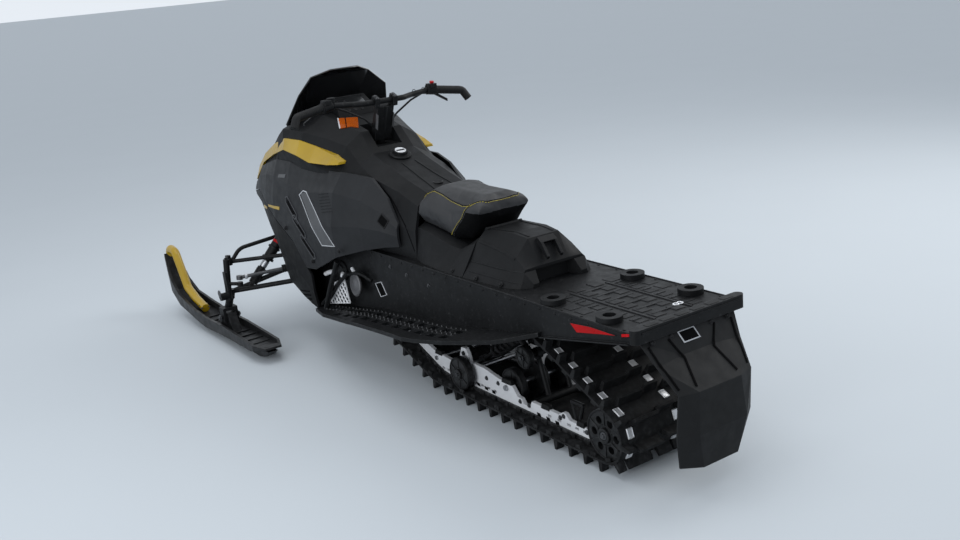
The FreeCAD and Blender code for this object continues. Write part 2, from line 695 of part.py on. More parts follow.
def make_handlebar():
    up = (post_top - post_low).normalize()
    side = V(up.z, 0, -up.x)
    low = post_low + up * 26
    high = post_top - up * 18
    corners = [low - side * 16, low + side * 16, high + side * 16, high - side * 16]
    riser = slab_y([(c.x, c.z) for c in corners], -36, 36)
    shaft = rod(post_low - up * 388, high, post_r)
    parts = [shaft, riser]
    for y in (30.0, -50.0):
        corners = [high - side * 20, high + side * 20,
                   post_top + up * 20 + side * 16, post_top + up * 20 - side * 16]
        parts.append(slab_y([(c.x, c.z) for c in corners], y, y + 20))
    reach = [V(post_top.x, 88, post_top.z), V(1420, 135, 1042), V(1427, 232, 1050), V(1408, 366, 1030)]
    path = [V(p.x, -p.y, p.z) for p in reversed(reach)] + reach
    bar = tube(path, bar_r, 34.0)
    save("handlebar", bar)
    sleeve = tube(path, bar_r + fit_gap, 34.0)
    post = fused(parts).cut(sleeve)
    save("steering_post", post)
    start = reach[2] + (reach[3] - reach[2]) * 0.24
    along = (reach[3] - reach[2]).normalize()
    hook = [start, reach[3] + along * 12, V(1396, 398, 992)]
    grip = tube(hook, 16.0, 20.0).cut(rod(reach[2], reach[3] + along * fit_gap, bar_r + fit_gap))
    save("grips", both(grip))
    at = reach[2] + along * 2
    block = rod(at - along * 14, at + along * 24, 21.0)
    block = block.fuse(box(at.x - 26, at.x + 14, at.y - 8, at.y + 20, at.z + 8, at.z + 24))
    block = block.cut(sleeve)
    # finger lever hanging ahead of each grip
    lever = loft([
        [V(at.x + 12, at.y + 2, at.z - 8), V(at.x + 26, at.y + 2, at.z - 8),
         V(at.x + 26, at.y + 2, at.z + 4), V(at.x + 12, at.y + 2, at.z + 4)],
        [V(at.x + 22, at.y + 96, at.z - 62), V(at.x + 32, at.y + 96, at.z - 62),
         V(at.x + 32, at.y + 96, at.z - 52), V(at.x + 22, at.y + 96, at.z - 52)],
    ])
    lever = lever.cut(grip)
    control = fused([block, lever.cut(rod(reach[2], reach[3], bar_r + 5))])
    control = max(control.Solids, key=lambda s: s.Volume)
    save("controls", both(control))
    cable = tube([V(1444, 20, 922), V(1442, 75, 976), V(1446, 150, 1018), V(1440, 214, 1042)], 4.0, 30.0)
    cable = cable.cut(block).cut(post)
    save("bar_cables", both(max(cable.Solids, key=lambda s: s.Volume)))


def make_arms():
    axis = (king_top - king_low).normalize()
    pan = ribs(pan_rows)
    upper_eye = rod(king_top - axis * eye_half, king_top + axis * eye_half, eye_r)
    lower_eye = rod(king_low - axis * eye_half, king_low + axis * eye_half, eye_r)
    top = king_top + V(0, -16, 0)
    low = king_low + V(0, -12, 0)
    bow = tube([top, V(2172, 400, 398), V(2140, 150, 428)], 9.0, 70.0)
    uppers = [upper_eye, bow, rod(top, V(1985, 210, 362), 9.0)]
    roots = (V(2050, 150, 300), V(1950, 200, 248))
    # the shock's pin joins the two legs of the lower arm
    pin = [low + (root - low) * ((low.y - shock_y) / (low.y - root.y)) for root in roots]
    lowers = [lower_eye, rod(low, roots[0], 11.0), rod(low, roots[1], 11.0), rod(pin[0], pin[1], 9.0)]
    bore_up = rod(king_top - axis * 40, king_top + axis * 40, pin_r + fit_gap)
    bore_low = rod(king_low - axis * 40, king_low + axis * 40, pin_r + fit_gap)
    upper = fused(uppers).cut(bore_up).cut(pan)
    lower = fused(lowers).cut(bore_low).cut(pan)
    save("upper_arms", both(max(upper.Solids, key=lambda s: s.Volume)))
    save("lower_arms", both(max(lower.Solids, key=lambda s: s.Volume)))
    foot = (pin[0] + pin[1]) * 0.5
    head = V(2092, 225, 428)
    way = (head - foot).normalize()
    # shock body: start and end along its line, radius
    steps = [(0.0, 250.0, 10.0), (16.0, 96.0, 20.0), (96.0, 140.0, 15.0), (140.0, 152.0, 27.0),
             (152.0, 250.0, 23.0)]
    shock = fused([rod(foot + way * a, foot + way * b, r) for a, b, r in steps])
    shock = shock.cut(pan).cut(lower).cut(rod(pin[0], pin[1], 9.0 + fit_gap))
    save("front_shocks", both(max(shock.Solids, key=lambda s: s.Volume)))
    tie = fused([rod(tie_end, V(1990, 200, 304), 8.0),
                 rod(tie_end - axis * 9, tie_end + axis * 9, 14.0)]).cut(pan).cut(lower).cut(upper)
    save("tie_rods", both(max(tie.Solids, key=lambda s: s.Volume)))


def make_ski(side):
    name = "left" if side > 0 else "right"

    def put(label, shape):
        save(label + "_" + name, shape if side > 0 else mirrored(shape))

    axis = (king_top - king_low).normalize()
    out = upright_off
    top = king_top + axis * (eye_half + 5)
    low = king_low - axis * (eye_half + 5)
    post = rod(low - axis * 7 + out, top + axis * 7 + out, upright_r)
    caps = [rod(top, top + axis * 14, 12), rod(low, low - axis * 14, 17)]
    links = [rod(top + axis * 7, top + axis * 7 + out, 7), rod(low - axis * 7, low - axis * 7 + out, 9)]
    pins = [rod(top, top - axis * 24, pin_r), rod(low, low + axis * 24, pin_r)]
    knob = rod(low + axis * 12 + out, low + axis * 12 + out + V(0, 40, 0), 17)
    # flat web that widens the upright down to the steering arm
    web = slab_y([(2112, 318), (2142, 318), (2140, 236), (2106, 236)], low.y + out.y - 6, low.y + out.y + 6)
    fork_z = ski_bolt.z + 44
    saddle_half = 20.0
    yoke = box(ski_bolt.x - 24, ski_bolt.x + 24, stance_half - 34, stance_half + 34, ski_bolt.z - 22, fork_z)
    yoke = yoke.cut(box(ski_bolt.x - 24, ski_bolt.x + 24, stance_half - saddle_half - fit_gap,
                        stance_half + saddle_half + fit_gap, ski_bolt.z - 22, fork_z - 14))
    foot = rod(low - axis * 7 + out * 0.6, V(ski_bolt.x, stance_half, fork_z - 8), 17)
    bolt = rod(ski_bolt - V(0, 42, 0), ski_bolt + V(0, 42, 0), pin_r)
    arm_end = tie_end - axis * (9 + tie_gap + 8)
    arm = rod(king_low + axis * 48 + out, arm_end, 8)
    boss = rod(arm_end - axis * 8, arm_end + axis * 8, 14)
    put("spindle", fused([post] + caps + links + pins + [knob, web, yoke, foot, bolt, arm, boss]))
    # side profile: keel line, lower edge of the flanks, upper edge, all as x, z
    under = [(1700, 50), (1745, 20), (1800, runner_tall), (2370, runner_tall), (2515, 20), (2690, 46),
             (2796, 98), (2848, 180)]
    flank = [(1690, 62), (1800, 42), (2050, 38), (2330, 28), (2515, 46), (2695, 58), (2806, 104),
             (2856, 184), (2890, 262)]
    over = [(2876, 284), (2836, 216), (2788, 160), (2690, 112), (2500, 90), (2330, 78), (2100, 84),
            (1900, 78), (1694, 70)]
    # half widths of the ski in plan
    plan = [(1690, 36), (1770, 62), (2050, ski_half - 4), (2450, ski_half), (2700, ski_half - 12),
            (2810, 46), (2892, 30)]
    inner = [(x, y - ski_wall) for x, y in plan]
    floor = [(1720, 68), (1800, 54), (2050, 50), (2330, 40), (2510, 58), (2685, 70), (2784, 112),
             (2828, 184), (2856, 250)]

    def plan_prism(rows):
        left = [(x, stance_half + y) for x, y in rows]
        right = [(x, stance_half - y) for x, y in reversed(rows)]
        return slab_z(left + right, -10, 420)

    ski = slab_y(flank + over, stance_half - ski_half, stance_half + ski_half).common(plan_prism(plan))
    room = slab_y(floor + [(2856, 400), (1720, 400)], stance_half - ski_half, stance_half + ski_half)
    ski = ski.cut(room.common(plan_prism(inner)))
    keel = under + [(2852, 188), (2800, 110), (2690, 64), (2515, 52), (2330, 34), (2050, 44), (1800, 48)]
    ski = ski.fuse(slab_y(keel, stance_half - 22, stance_half + 22))
    saddle = slab_y([(2070, 18), (2260, 18), (2196, 126), (2128, 126)],
                    stance_half - saddle_half, stance_half + saddle_half)
    saddle = saddle.cut(rod(ski_bolt - V(0, 60, 0), ski_bolt + V(0, 60, 0), pin_r + fit_gap))
    ski = ski.fuse(saddle).removeSplitter()
    path = [(2478, 74), (2590, 98), (2690, 134), (2796, 300), (ski_tip_x - loop_r, 312),
            (ski_tip_x - loop_r, 258)]
    loop = tube([V(x, stance_half, z) for x, z in path], loop_r, 36.0).cut(ski)
    put("ski", ski)
    put("ski_loop", max(loop.Solids, key=lambda s: s.Volume))
    runner = slab_y([(1840, 0), (1820, runner_tall - fit_gap), (2360, runner_tall - fit_gap), (2330, 0)],
                    stance_half - 5, stance_half + 5)
    put("ski_runner", runner)


make_track()
make_wheels()
make_rails()
make_skid()
make_tunnel()
make_boards()
make_rear()
make_seat()
make_body()
make_handlebar()
make_arms()
make_ski(1)
make_ski(-1)
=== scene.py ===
"""Looks of a crossover snowmobile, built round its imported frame.

Lengths are in metres in the row frame: +X forward, +Y to the left, +Z up, from the middle of the footprint.
"""

import json
import logging
import math
from collections.abc import Callable, Iterator, Sequence
from contextlib import contextmanager
from dataclasses import dataclass
from enum import Enum

import bmesh
import bpy
from mathutils import Matrix, Vector
from mathutils.bvhtree import BVHTree


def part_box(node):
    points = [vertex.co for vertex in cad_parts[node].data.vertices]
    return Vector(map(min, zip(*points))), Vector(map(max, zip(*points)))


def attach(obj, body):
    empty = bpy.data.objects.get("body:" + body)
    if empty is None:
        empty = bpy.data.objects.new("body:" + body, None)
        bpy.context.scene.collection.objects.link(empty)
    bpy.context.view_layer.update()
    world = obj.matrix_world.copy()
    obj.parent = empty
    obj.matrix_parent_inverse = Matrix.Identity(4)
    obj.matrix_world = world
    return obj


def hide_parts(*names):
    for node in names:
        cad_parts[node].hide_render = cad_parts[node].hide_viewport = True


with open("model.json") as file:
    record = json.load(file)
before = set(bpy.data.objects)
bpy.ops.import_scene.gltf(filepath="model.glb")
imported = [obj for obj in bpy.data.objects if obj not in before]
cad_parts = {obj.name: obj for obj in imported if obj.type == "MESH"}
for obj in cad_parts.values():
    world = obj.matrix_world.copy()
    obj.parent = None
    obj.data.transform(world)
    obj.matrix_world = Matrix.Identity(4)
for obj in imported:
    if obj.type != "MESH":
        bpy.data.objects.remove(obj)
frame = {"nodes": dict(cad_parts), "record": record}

Color = tuple[float, float, float]
Point = tuple[float, float, float]
Spot = tuple[float, float]
Pair = tuple[float, float]
Outline = tuple[Spot, ...]
Piece = bpy.types.Object
Socket = bpy.types.NodeSocket
log = logging.getLogger("sled")

# The distance up to which vertices merge, the gap under a laid sheet, and the length of a band's faces.
MERGE = 1e-5
SHEET_LIFT = 0.0003
BAND_STEP = 0.02
# How far out beside the sled a sheet starts before it is pressed on.
BESIDE = 0.40
# The finishes' noise patterns, in cells per metre, and the heights between which dust fades out.
PATCH_SCALE = 7.0
ROUGH_SCALE = 30.0
DUST_SCALE = 60.0
SPECK_SCALE = 90.0
DUST_LOW, DUST_HIGH = 0.05, 0.45
DUST_COLOR: Color = (0.30, 0.31, 0.32)
LOOK = "look_"


class Grain(Enum):
    """The fine relief of a surface."""

    PEBBLE = "rounded cells, as on grained plastic and vinyl"
    SAND = "fine noise, as on powder coat and cast metal"
    BRUSHED = "long fine scratches"
    SMOOTH = "a gloss surface with faint waves"


class Side(Enum):
    """The way in which a sheet is pressed on to a surface: its axis, and the sign of the press along it."""

    LEFT = ("y", -1.0)
    TOP = ("z", -1.0)
    REAR = ("x", 1.0)


class Graph:
    """A material's node tree, with short calls that add and join its nodes."""

    def __init__(self, name: str) -> None:
        """Starts an empty material.

        Args:
            name: the material's name.
        """
        self.material = bpy.data.materials.new(name)
        self.material.use_nodes = True
        self.tree = self.material.node_tree
        self.tree.nodes.clear()

    def put(self, kind: str, sockets: dict, **settings: object) -> bpy.types.Node:
        """Adds a node.

        Args:
            kind: the node's type.
            sockets: value or source socket for each input, by name or number.
            settings: the node's own properties.

        Returns:
            The new node.
        """
        node = self.tree.nodes.new(kind)
        for key, value in settings.items():
            setattr(node, key, value)
        for key, value in sockets.items():
            if isinstance(value, Socket):
                self.tree.links.new(value, node.inputs[key])
            else:
                node.inputs[key].default_value = value
        return node

    def blend(self, share: Socket, low: object, high: object) -> Socket:
        """Mixes two colours.

        Args:
            share: how much of the second colour shows.
            low: the first colour or its socket.
            high: the second colour or its socket.

        Returns:
            The socket of the mixed colour.
        """
        ends = [value if isinstance(value, Socket) else (*value, 1.0) for value in (low, high)]
        return self.put("ShaderNodeMix", {0: share, 6: ends[0], 7: ends[1]}, data_type="RGBA").outputs[2]

    def times(self, first: Socket, second: Socket) -> Socket:
        """Multiplies two values.

        Args:
            first: one value.
            second: the other value.

        Returns:
            The socket of the product.
        """
        return self.put("ShaderNodeMath", {0: first, 1: second}, operation="MULTIPLY").outputs[0]

    def noise(self, where: Socket, scale: float, detail: float) -> Socket:
        """Adds a noise pattern.

        Args:
            where: the coordinates.
            scale: cells per metre.
            detail: its octaves.

        Returns:
            The pattern's value.
        """
        return self.put("ShaderNodeTexNoise", {"Vector": where, "Scale": scale, "Detail": detail}).outputs[0]

    def span(self, value: Socket, low: float, high: float, start: float, end: float) -> Socket:
        """Maps a value from one range to another, held at both ends.

        Args:
            value: the source.
            low: the source value that gives start.
            high: the source value that gives end.
            start: the first result.
            end: the last result.

        Returns:
            The mapped value.
        """
        return self.put("ShaderNodeMapRange", {0: value, 1: low, 2: high, 3: start, 4: end}).outputs[0]


@dataclass(frozen=True)
class Finish:
    """A surface: its colours, shine, grain, rounded edges, wear and snow dust."""

    name: str
    color: Color
    tint: Color
    rough: tuple[float, float]
    grain: Grain = Grain.PEBBLE
    grain_size: float = 1.6e-3
    grain_depth: float = 1.2e-4
    metallic: float = 0.0
    coat: float = 0.0
    shine: float = 0.22
    wear: float = 0.2
    wear_color: Color = (0.08, 0.08, 0.085)
    edge: float = 2.5e-3
    edge_wear: float = 0.35
    dust: float = 0.0
    slot: str = ""

    def material(self) -> bpy.types.Material:
        """Builds the material, or finds the one built before.

        Returns:
            The material.
        """
        found = bpy.data.materials.get(LOOK + self.name)
        if found:
            return found
        g = Graph(LOOK + self.name)
        place = g.put("ShaderNodeTexCoord", {}).outputs["Object"]
        patches = g.span(g.noise(place, PATCH_SCALE, 3.0), 0.35, 0.65, 0.0, 1.0)
        color = g.blend(patches, self.color, self.tint)
        specks = g.noise(place, SPECK_SCALE, 6.0)
        color = g.blend(g.span(specks, 0.60, 0.74, 0.0, self.wear), color, self.wear_color)
        rounded = g.put("ShaderNodeBevel", {"Radius": self.edge}, samples=4).outputs[0]
        if self.edge_wear:
            color = g.blend(self.rubbed(g, rounded, specks), color, self.wear_color)
        if self.dust:
            color = g.blend(self.snow(g, place), color, DUST_COLOR)
        rough = g.span(g.noise(place, ROUGH_SCALE, 5.0), 0.3, 0.7, *self.rough)
        bump = g.put("ShaderNodeBump", {
            "Height": self.relief(g, place), "Distance": self.grain_depth, "Strength": 0.8, "Normal": rounded,
        })
        shader = g.put("ShaderNodeBsdfPrincipled", {
            "Base Color": color, "Roughness": rough, "Metallic": self.metallic,
            "Coat Weight": self.coat, "Coat Roughness": 0.12, "Specular IOR Level": self.shine,
            "Normal": bump.outputs[0],
        })
        g.put("ShaderNodeOutputMaterial", {0: shader.outputs[0]})
        return g.material

    def rubbed(self, g: Graph, rounded: Socket, specks: Socket) -> Socket:
        """Finds the edges, where the rounded normal leaves the plain one, and breaks them up.

        Args:
            g: the node tree.
            rounded: the normal with rounded edges.
            specks: a fine noise.

        Returns:
            The socket of the wear's share.
        """
        plain = g.put("ShaderNodeNewGeometry", {}).outputs["Normal"]
        same = g.put("ShaderNodeVectorMath", {0: plain, 1: rounded}, operation="DOT_PRODUCT").outputs["Value"]
        return g.times(g.span(same, 0.99, 0.88, 0.0, self.edge_wear), g.span(specks, 0.35, 0.60, 0.2, 1.0))

    def snow(self, g: Graph, place: Socket) -> Socket:
        """Adds fine dried snow dust, more of it low down.

        Args:
            g: the node tree.
            place: the coordinates.

        Returns:
            The socket of the dust's share.
        """
        height = g.put("ShaderNodeSeparateXYZ", {0: place}).outputs[2]
        low = g.span(height, DUST_LOW, DUST_HIGH, self.dust, 0.0)
        return g.times(low, g.span(g.noise(place, DUST_SCALE, 8.0), 0.45, 0.75, 0.0, 1.0))

    def relief(self, g: Graph, place: Socket) -> Socket:
        """Adds the grain.

        Args:
            g: the node tree.
            place: the coordinates.

        Returns:
            The socket of the grain's height.
        """
        if self.grain is Grain.PEBBLE:
            sockets = {"Vector": place, "Scale": 1 / self.grain_size}
            return g.put("ShaderNodeTexVoronoi", sockets, feature="SMOOTH_F1").outputs[0]
        if self.grain is Grain.BRUSHED:
            streaks = g.put("ShaderNodeMapping", {0: place, 3: (1.0, 40.0, 40.0)})
            return g.noise(streaks.outputs[0], 0.05 / self.grain_size, 4.0)
        size = 0.02 if self.grain is Grain.SMOOTH else self.grain_size
        return g.noise(place, 1 / size, 3.0)

    def dress(self, *pieces: Piece) -> None:
        """Puts the material on pieces.

        Args:
            pieces: mesh objects.
        """
        for piece in pieces:
            piece.data.materials.clear()
            piece.data.materials.append(self.material())


SLED_BLACK = Finish(
    "powder_coat", (0.0038, 0.0041, 0.0045), (0.0056, 0.0059, 0.0065), (0.38, 0.54), Grain.SAND, 9e-4, 8e-5,
    shine=0.14, dust=0.02, slot="sled_black")
BODY_PLASTIC = Finish(
    "moulded_plastic", (0.0050, 0.0053, 0.0058), (0.0068, 0.0072, 0.0079), (0.46, 0.60),
    Grain.PEBBLE, 1.5e-3, 9e-5, shine=0.13, wear=0.08, wear_color=(0.034, 0.036, 0.039), slot="body_plastic")
PANEL_PLASTIC = Finish(
    "panel_plastic", (0.0095, 0.0102, 0.0116), (0.0125, 0.0134, 0.0150), (0.46, 0.60),
    Grain.PEBBLE, 1.5e-3, 9e-5, shine=0.20, wear=0.08, wear_color=(0.045, 0.047, 0.051), slot="body_plastic")
PLATE_PLASTIC = Finish(
    "plate_plastic", (0.060, 0.062, 0.066), (0.048, 0.050, 0.053), (0.40, 0.52), Grain.SAND, 1.2e-3, 5e-5,
    shine=0.35, wear=0.10, wear_color=(0.12, 0.12, 0.13), edge=4e-4, edge_wear=0.0, slot="body_plastic")
# Near-black and nearly matt. It is the own colour of the dark tunnel tag and flap plate, and painted shade in
# slots, slits, gaps, holes, folds, the seat's welts and its hollow back.
DARK_PLATE_AND_PAINTED_SHADE = Finish(
    "inset_plastic", (0.0020, 0.0021, 0.0023), (0.0030, 0.0031, 0.0034), (0.60, 0.75),
    Grain.SAND, 1.2e-3, 6e-5, shine=0.03, wear=0.05, edge_wear=0.0, slot="body_plastic")
RIB_PLASTIC = Finish(
    "rib_plastic", (0.028, 0.029, 0.032), (0.036, 0.037, 0.041), (0.42, 0.56), Grain.PEBBLE, 1.5e-3, 6e-5,
    shine=0.35, wear=0.10, edge=8e-4, slot="body_plastic")
YELLOW = Finish(
    "gloss_yellow", (0.35, 0.225, 0.006), (0.30, 0.190, 0.005), (0.28, 0.40), Grain.SMOOTH, grain_depth=4e-4,
    shine=0.35, coat=0.15, wear=0.05, wear_color=(0.30, 0.18, 0.012), edge_wear=0.15, slot="yellow_plastic")
SCREEN = Finish(
    "smoked_screen", (0.0065, 0.0068, 0.0074), (0.0090, 0.0095, 0.0102), (0.12, 0.22), Grain.SMOOTH,
    grain_depth=5e-4, shine=0.5, coat=0.5, wear=0.04, edge=1e-3, edge_wear=0.15, slot="smoked_screen")
VINYL = Finish(
    "seat_vinyl", (0.0120, 0.0127, 0.0140), (0.0165, 0.0172, 0.0190), (0.50, 0.64),
    Grain.PEBBLE, 2.4e-3, 3.0e-4, shine=0.42, wear=0.10, wear_color=(0.060, 0.062, 0.067), edge_wear=0.1,
    slot="seat_vinyl")
THREAD = Finish(
    "yellow_thread", (0.42, 0.33, 0.03), (0.34, 0.27, 0.03), (0.55, 0.70), Grain.BRUSHED, 4e-4, 1e-4,
    wear=0.1, edge=2e-4, edge_wear=0.0, slot="yellow_plastic")
TRACK = Finish(
    "track_rubber", (0.0050, 0.0052, 0.0056), (0.0075, 0.0078, 0.0083), (0.58, 0.80),
    Grain.SAND, 2.5e-3, 4e-4, shine=0.15, wear=0.16, wear_color=(0.028, 0.029, 0.031), dust=0.07,
    slot="track_rubber")
RUBBER = Finish(
    "cast_rubber", (0.0045, 0.0048, 0.0052), (0.0068, 0.0071, 0.0077), (0.50, 0.66),
    Grain.PEBBLE, 2.0e-3, 1.5e-4, shine=0.20, wear=0.08, wear_color=(0.035, 0.037, 0.040), slot="soft_rubber")
RAIL = Finish(
    "rail_alloy", (0.54, 0.55, 0.57), (0.46, 0.47, 0.49), (0.42, 0.56), Grain.BRUSHED, 1e-3, 6e-5,
    shine=0.4, wear=0.12, wear_color=(0.28, 0.28, 0.29), slot="rail_alloy")
SLIDE = Finish(
    "slide_plastic", (0.006, 0.006, 0.0065), (0.009, 0.009, 0.0095), (0.34, 0.55), Grain.BRUSHED, 1e-3, 1e-4,
    shine=0.3, dust=0.15, slot="slide_plastic")
WHEEL = Finish(
    "wheel_plastic", (0.0040, 0.0042, 0.0046), (0.0060, 0.0062, 0.0067), (0.34, 0.50),
    Grain.SAND, 1.4e-3, 1e-4, shine=0.26, wear=0.10, wear_color=(0.03, 0.031, 0.033), dust=0.06,
    slot="wheel_plastic")
STEEL = Finish(
    "plated_steel", (0.46, 0.47, 0.49), (0.36, 0.37, 0.39), (0.26, 0.42), Grain.BRUSHED, 8e-4, 4e-5,
    shine=0.5, metallic=1.0, wear=0.3, edge=1e-3, slot="steel")
DARK_STEEL = Finish(
    "dark_steel", (0.085, 0.087, 0.092), (0.060, 0.062, 0.066), (0.34, 0.50), Grain.BRUSHED, 8e-4, 4e-5,
    shine=0.4, metallic=0.8, wear=0.2, wear_color=(0.14, 0.14, 0.15), edge=8e-4, edge_wear=0.2)
CLIP = Finish(
    "clip_steel", (0.74, 0.75, 0.77), (0.62, 0.63, 0.65), (0.28, 0.42), Grain.BRUSHED, 8e-4, 4e-5,
    shine=0.5, metallic=0.6, wear=0.15, edge=8e-4, slot="steel")
ENGINE = Finish(
    "engine_alloy", (0.10, 0.10, 0.105), (0.15, 0.15, 0.155), (0.48, 0.66), Grain.SAND, 1.8e-3, 2e-4,
    metallic=0.8, slot="engine_alloy")
SKI = Finish(
    "ski_plastic", (0.0045, 0.0048, 0.0053), (0.0070, 0.0073, 0.0080), (0.34, 0.54),
    Grain.SAND, 1.6e-3, 1.2e-4, shine=0.22, wear=0.12, wear_color=(0.030, 0.031, 0.033), dust=0.05,
    slot="ski_plastic")
LENS = Finish(
    "clear_lens", (0.42, 0.44, 0.47), (0.32, 0.34, 0.37), (0.06, 0.14), Grain.SMOOTH, grain_depth=3e-4,
    shine=0.5, coat=0.8, wear=0.05, slot="clear_lens")
RED = Finish(
    "red_lens", (0.36, 0.002, 0.004), (0.27, 0.002, 0.003), (0.20, 0.30), Grain.PEBBLE, 4e-3, 1e-4,
    shine=0.10, wear=0.04, wear_color=(0.30, 0.02, 0.02), edge=1e-3, edge_wear=0.0)
AMBER = Finish(
    "amber_lens", (0.28, 0.052, 0.002), (0.22, 0.040, 0.002), (0.20, 0.30), Grain.PEBBLE, 3e-3, 1e-4,
    shine=0.12, wear=0.04, wear_color=(0.40, 0.12, 0.01), edge=1e-3, edge_wear=0.0)
PALE_TRIM = Finish(
    "pale_trim", (0.42, 0.43, 0.45), (0.34, 0.35, 0.37), (0.45, 0.60), Grain.SAND, 1e-3, 4e-5,
    shine=0.4, wear=0.15, edge=4e-4, edge_wear=0.0, slot="rail_alloy")
WHITE_TRIM = Finish(
    "white_trim", (0.66, 0.67, 0.69), (0.58, 0.59, 0.61), (0.40, 0.55), Grain.SAND, 1e-3, 4e-5,
    shine=0.4, wear=0.10, edge=4e-4, edge_wear=0.0, slot="rail_alloy")
NODE_FINISHES = (
    SLED_BLACK, BODY_PLASTIC, YELLOW, SCREEN, VINYL, TRACK, RUBBER, RAIL, SLIDE, WHEEL, STEEL, ENGINE, SKI,
    LENS,
)
OWN_FINISHES = {
    "front_shocks": SLED_BLACK,
    "skid_shocks": DARK_STEEL,
    "tie_rods": DARK_STEEL,
    "drive_axle": DARK_STEEL,
    "side_panels": PANEL_PLASTIC,
    "fuel_cap": SLED_BLACK,
    "gauge": SLED_BLACK,
}


def choose(*pieces: Piece) -> None:
    """Selects pieces alone, the first as the active one.

    Args:
        pieces: the pieces.
    """
    bpy.ops.object.select_all(action="DESELECT")
    for piece in pieces:
        piece.select_set(True)
    if pieces:
        bpy.context.view_layer.objects.active = pieces[0]


@contextmanager
def shaping(piece: Piece, mode: str = "FACE") -> Iterator[None]:
    """Opens a piece in edit mode with all selected, and leaves it merged, with its faces turned outwards.

    Args:
        piece: the piece to shape.
        mode: what is selected, VERT, EDGE or FACE.

    Yields:
        Nothing, while the piece is open.
    """
    choose(piece)
    bpy.ops.object.mode_set(mode="EDIT")
    bpy.ops.mesh.select_mode(type=mode)
    bpy.ops.mesh.select_all(action="SELECT")
    yield
    bpy.ops.mesh.select_all(action="SELECT")
    bpy.ops.mesh.remove_doubles(threshold=MERGE)
    bpy.ops.mesh.normals_make_consistent(inside=False)
    bpy.ops.object.mode_set(mode="OBJECT")


def close(piece: Piece) -> None:
    """Merges a piece's doubles and turns its faces outwards."""
    with shaping(piece, "VERT"):
        pass


def pick(piece: Piece, test: Callable[[bmesh.types.BMFace], bool]) -> None:
    """Selects the faces of an open piece that pass a test, and nothing else.

    Args:
        piece: the piece in edit mode.
        test: says whether a face is selected.
    """
    bpy.ops.mesh.select_all(action="DESELECT")
    mesh = bmesh.from_edit_mesh(piece.data)
    for face in mesh.faces:
        if test(face):
            face.select_set(True)
    bmesh.update_edit_mesh(piece.data)


def modify(piece: Piece, kind: str, **settings: object) -> None:
    """Adds a modifier and applies it.

    Args:
        piece: the piece.
        kind: the modifier's type.
        settings: its properties.
    """
    choose(piece)
    bpy.ops.object.modifier_add(type=kind)
    modifier = piece.modifiers[-1]
    for key, value in settings.items():
        setattr(modifier, key, value)
    bpy.ops.object.modifier_apply(modifier=modifier.name)


def settle(piece: Piece, name: str, smooth: float = 0.7) -> Piece:
    """Names a piece, puts its place and turn into its mesh, and smooths its shading.

    Args:
        piece: the piece.
        name: its name.
        smooth: the angle, in radians, up to which faces shade as one surface.

    Returns:
        The piece.
    """
    choose(piece)
    bpy.ops.object.transform_apply(location=True, rotation=True, scale=True)
    bpy.ops.object.shade_smooth_by_angle(angle=smooth)
    piece.name = name
    piece.data.name = name
    return piece


def joined(name: str, pieces: Sequence[Piece]) -> Piece:
    """Joins pieces into one.

    Args:
        name: the name of the whole.
        pieces: its parts.

    Returns:
        The whole.
    """
    choose(*pieces)
    if len(pieces) > 1:
        bpy.ops.object.join()
    return settle(pieces[0], name)


def twin_of(piece: Piece) -> Piece:
    """Copies an object together with its mesh.

    Args:
        piece: the original.

    Returns:
        The copy.
    """
    twin = piece.copy()
    twin.data = piece.data.copy()
    bpy.context.scene.collection.objects.link(twin)
    return twin


def repeated(name: str, model: Piece, moves: Sequence[Matrix]) -> Piece:
    """Copies a model to several places, and joins the copies.

    Args:
        name: the name of the whole.
        model: the shape, made at the origin, which goes.
        moves: the place and turn of each copy.

    Returns:
        The whole.
    """
    copies = []
    for move in moves:
        copies.append(twin_of(model))
        copies[-1].data.transform(move)
    bpy.data.objects.remove(model)
    return joined(name, copies)


def mirrored(piece: Piece) -> Piece:
    """Copies a piece to the sled's other side, and joins the two.

    Args:
        piece: the left piece.

    Returns:
        The pair as one piece.
    """
    twin = twin_of(piece)
    with shaping(twin):
        bpy.ops.transform.resize(value=(1.0, -1.0, 1.0), center_override=(0.0, 0.0, 0.0))
    return joined(piece.name, [piece, twin])


def facing(spot: Point, way: Point) -> Matrix:
    """Gives the move that stands a model, made along +Z at the origin, on a spot.

    Args:
        spot: where its foot comes.
        way: where its +Z points.

    Returns:
        The move.
    """
    return Matrix.LocRotScale(Vector(spot), Vector(way).to_track_quat("Z", "Y"), None)


def block(name: str, low: Point, high: Point, edge: float = 0.002, narrow: float = 1.0) -> Piece:
    """Makes a block with rounded edges.

    Args:
        name: its name.
        low: its lowest corner.
        high: its highest corner.
        edge: the rounding.
        narrow: the top's share of the foot's width and length.

    Returns:
        The block.
    """
    choose()
    start, end = Vector(low), Vector(high)
    bpy.ops.mesh.primitive_cube_add(size=1.0, location=(start + end) / 2, scale=end - start)
    piece = settle(bpy.context.object, name)
    with shaping(piece):
        pick(piece, lambda face: face.normal.z > 0.9)
        top = ((start.x + end.x) / 2, (start.y + end.y) / 2, end.z)
        bpy.ops.transform.resize(value=(narrow, narrow, 1.0), center_override=top)
        bpy.ops.mesh.select_all(action="SELECT")
        bpy.ops.mesh.bevel(offset=edge, segments=2)
    return settle(piece, name)


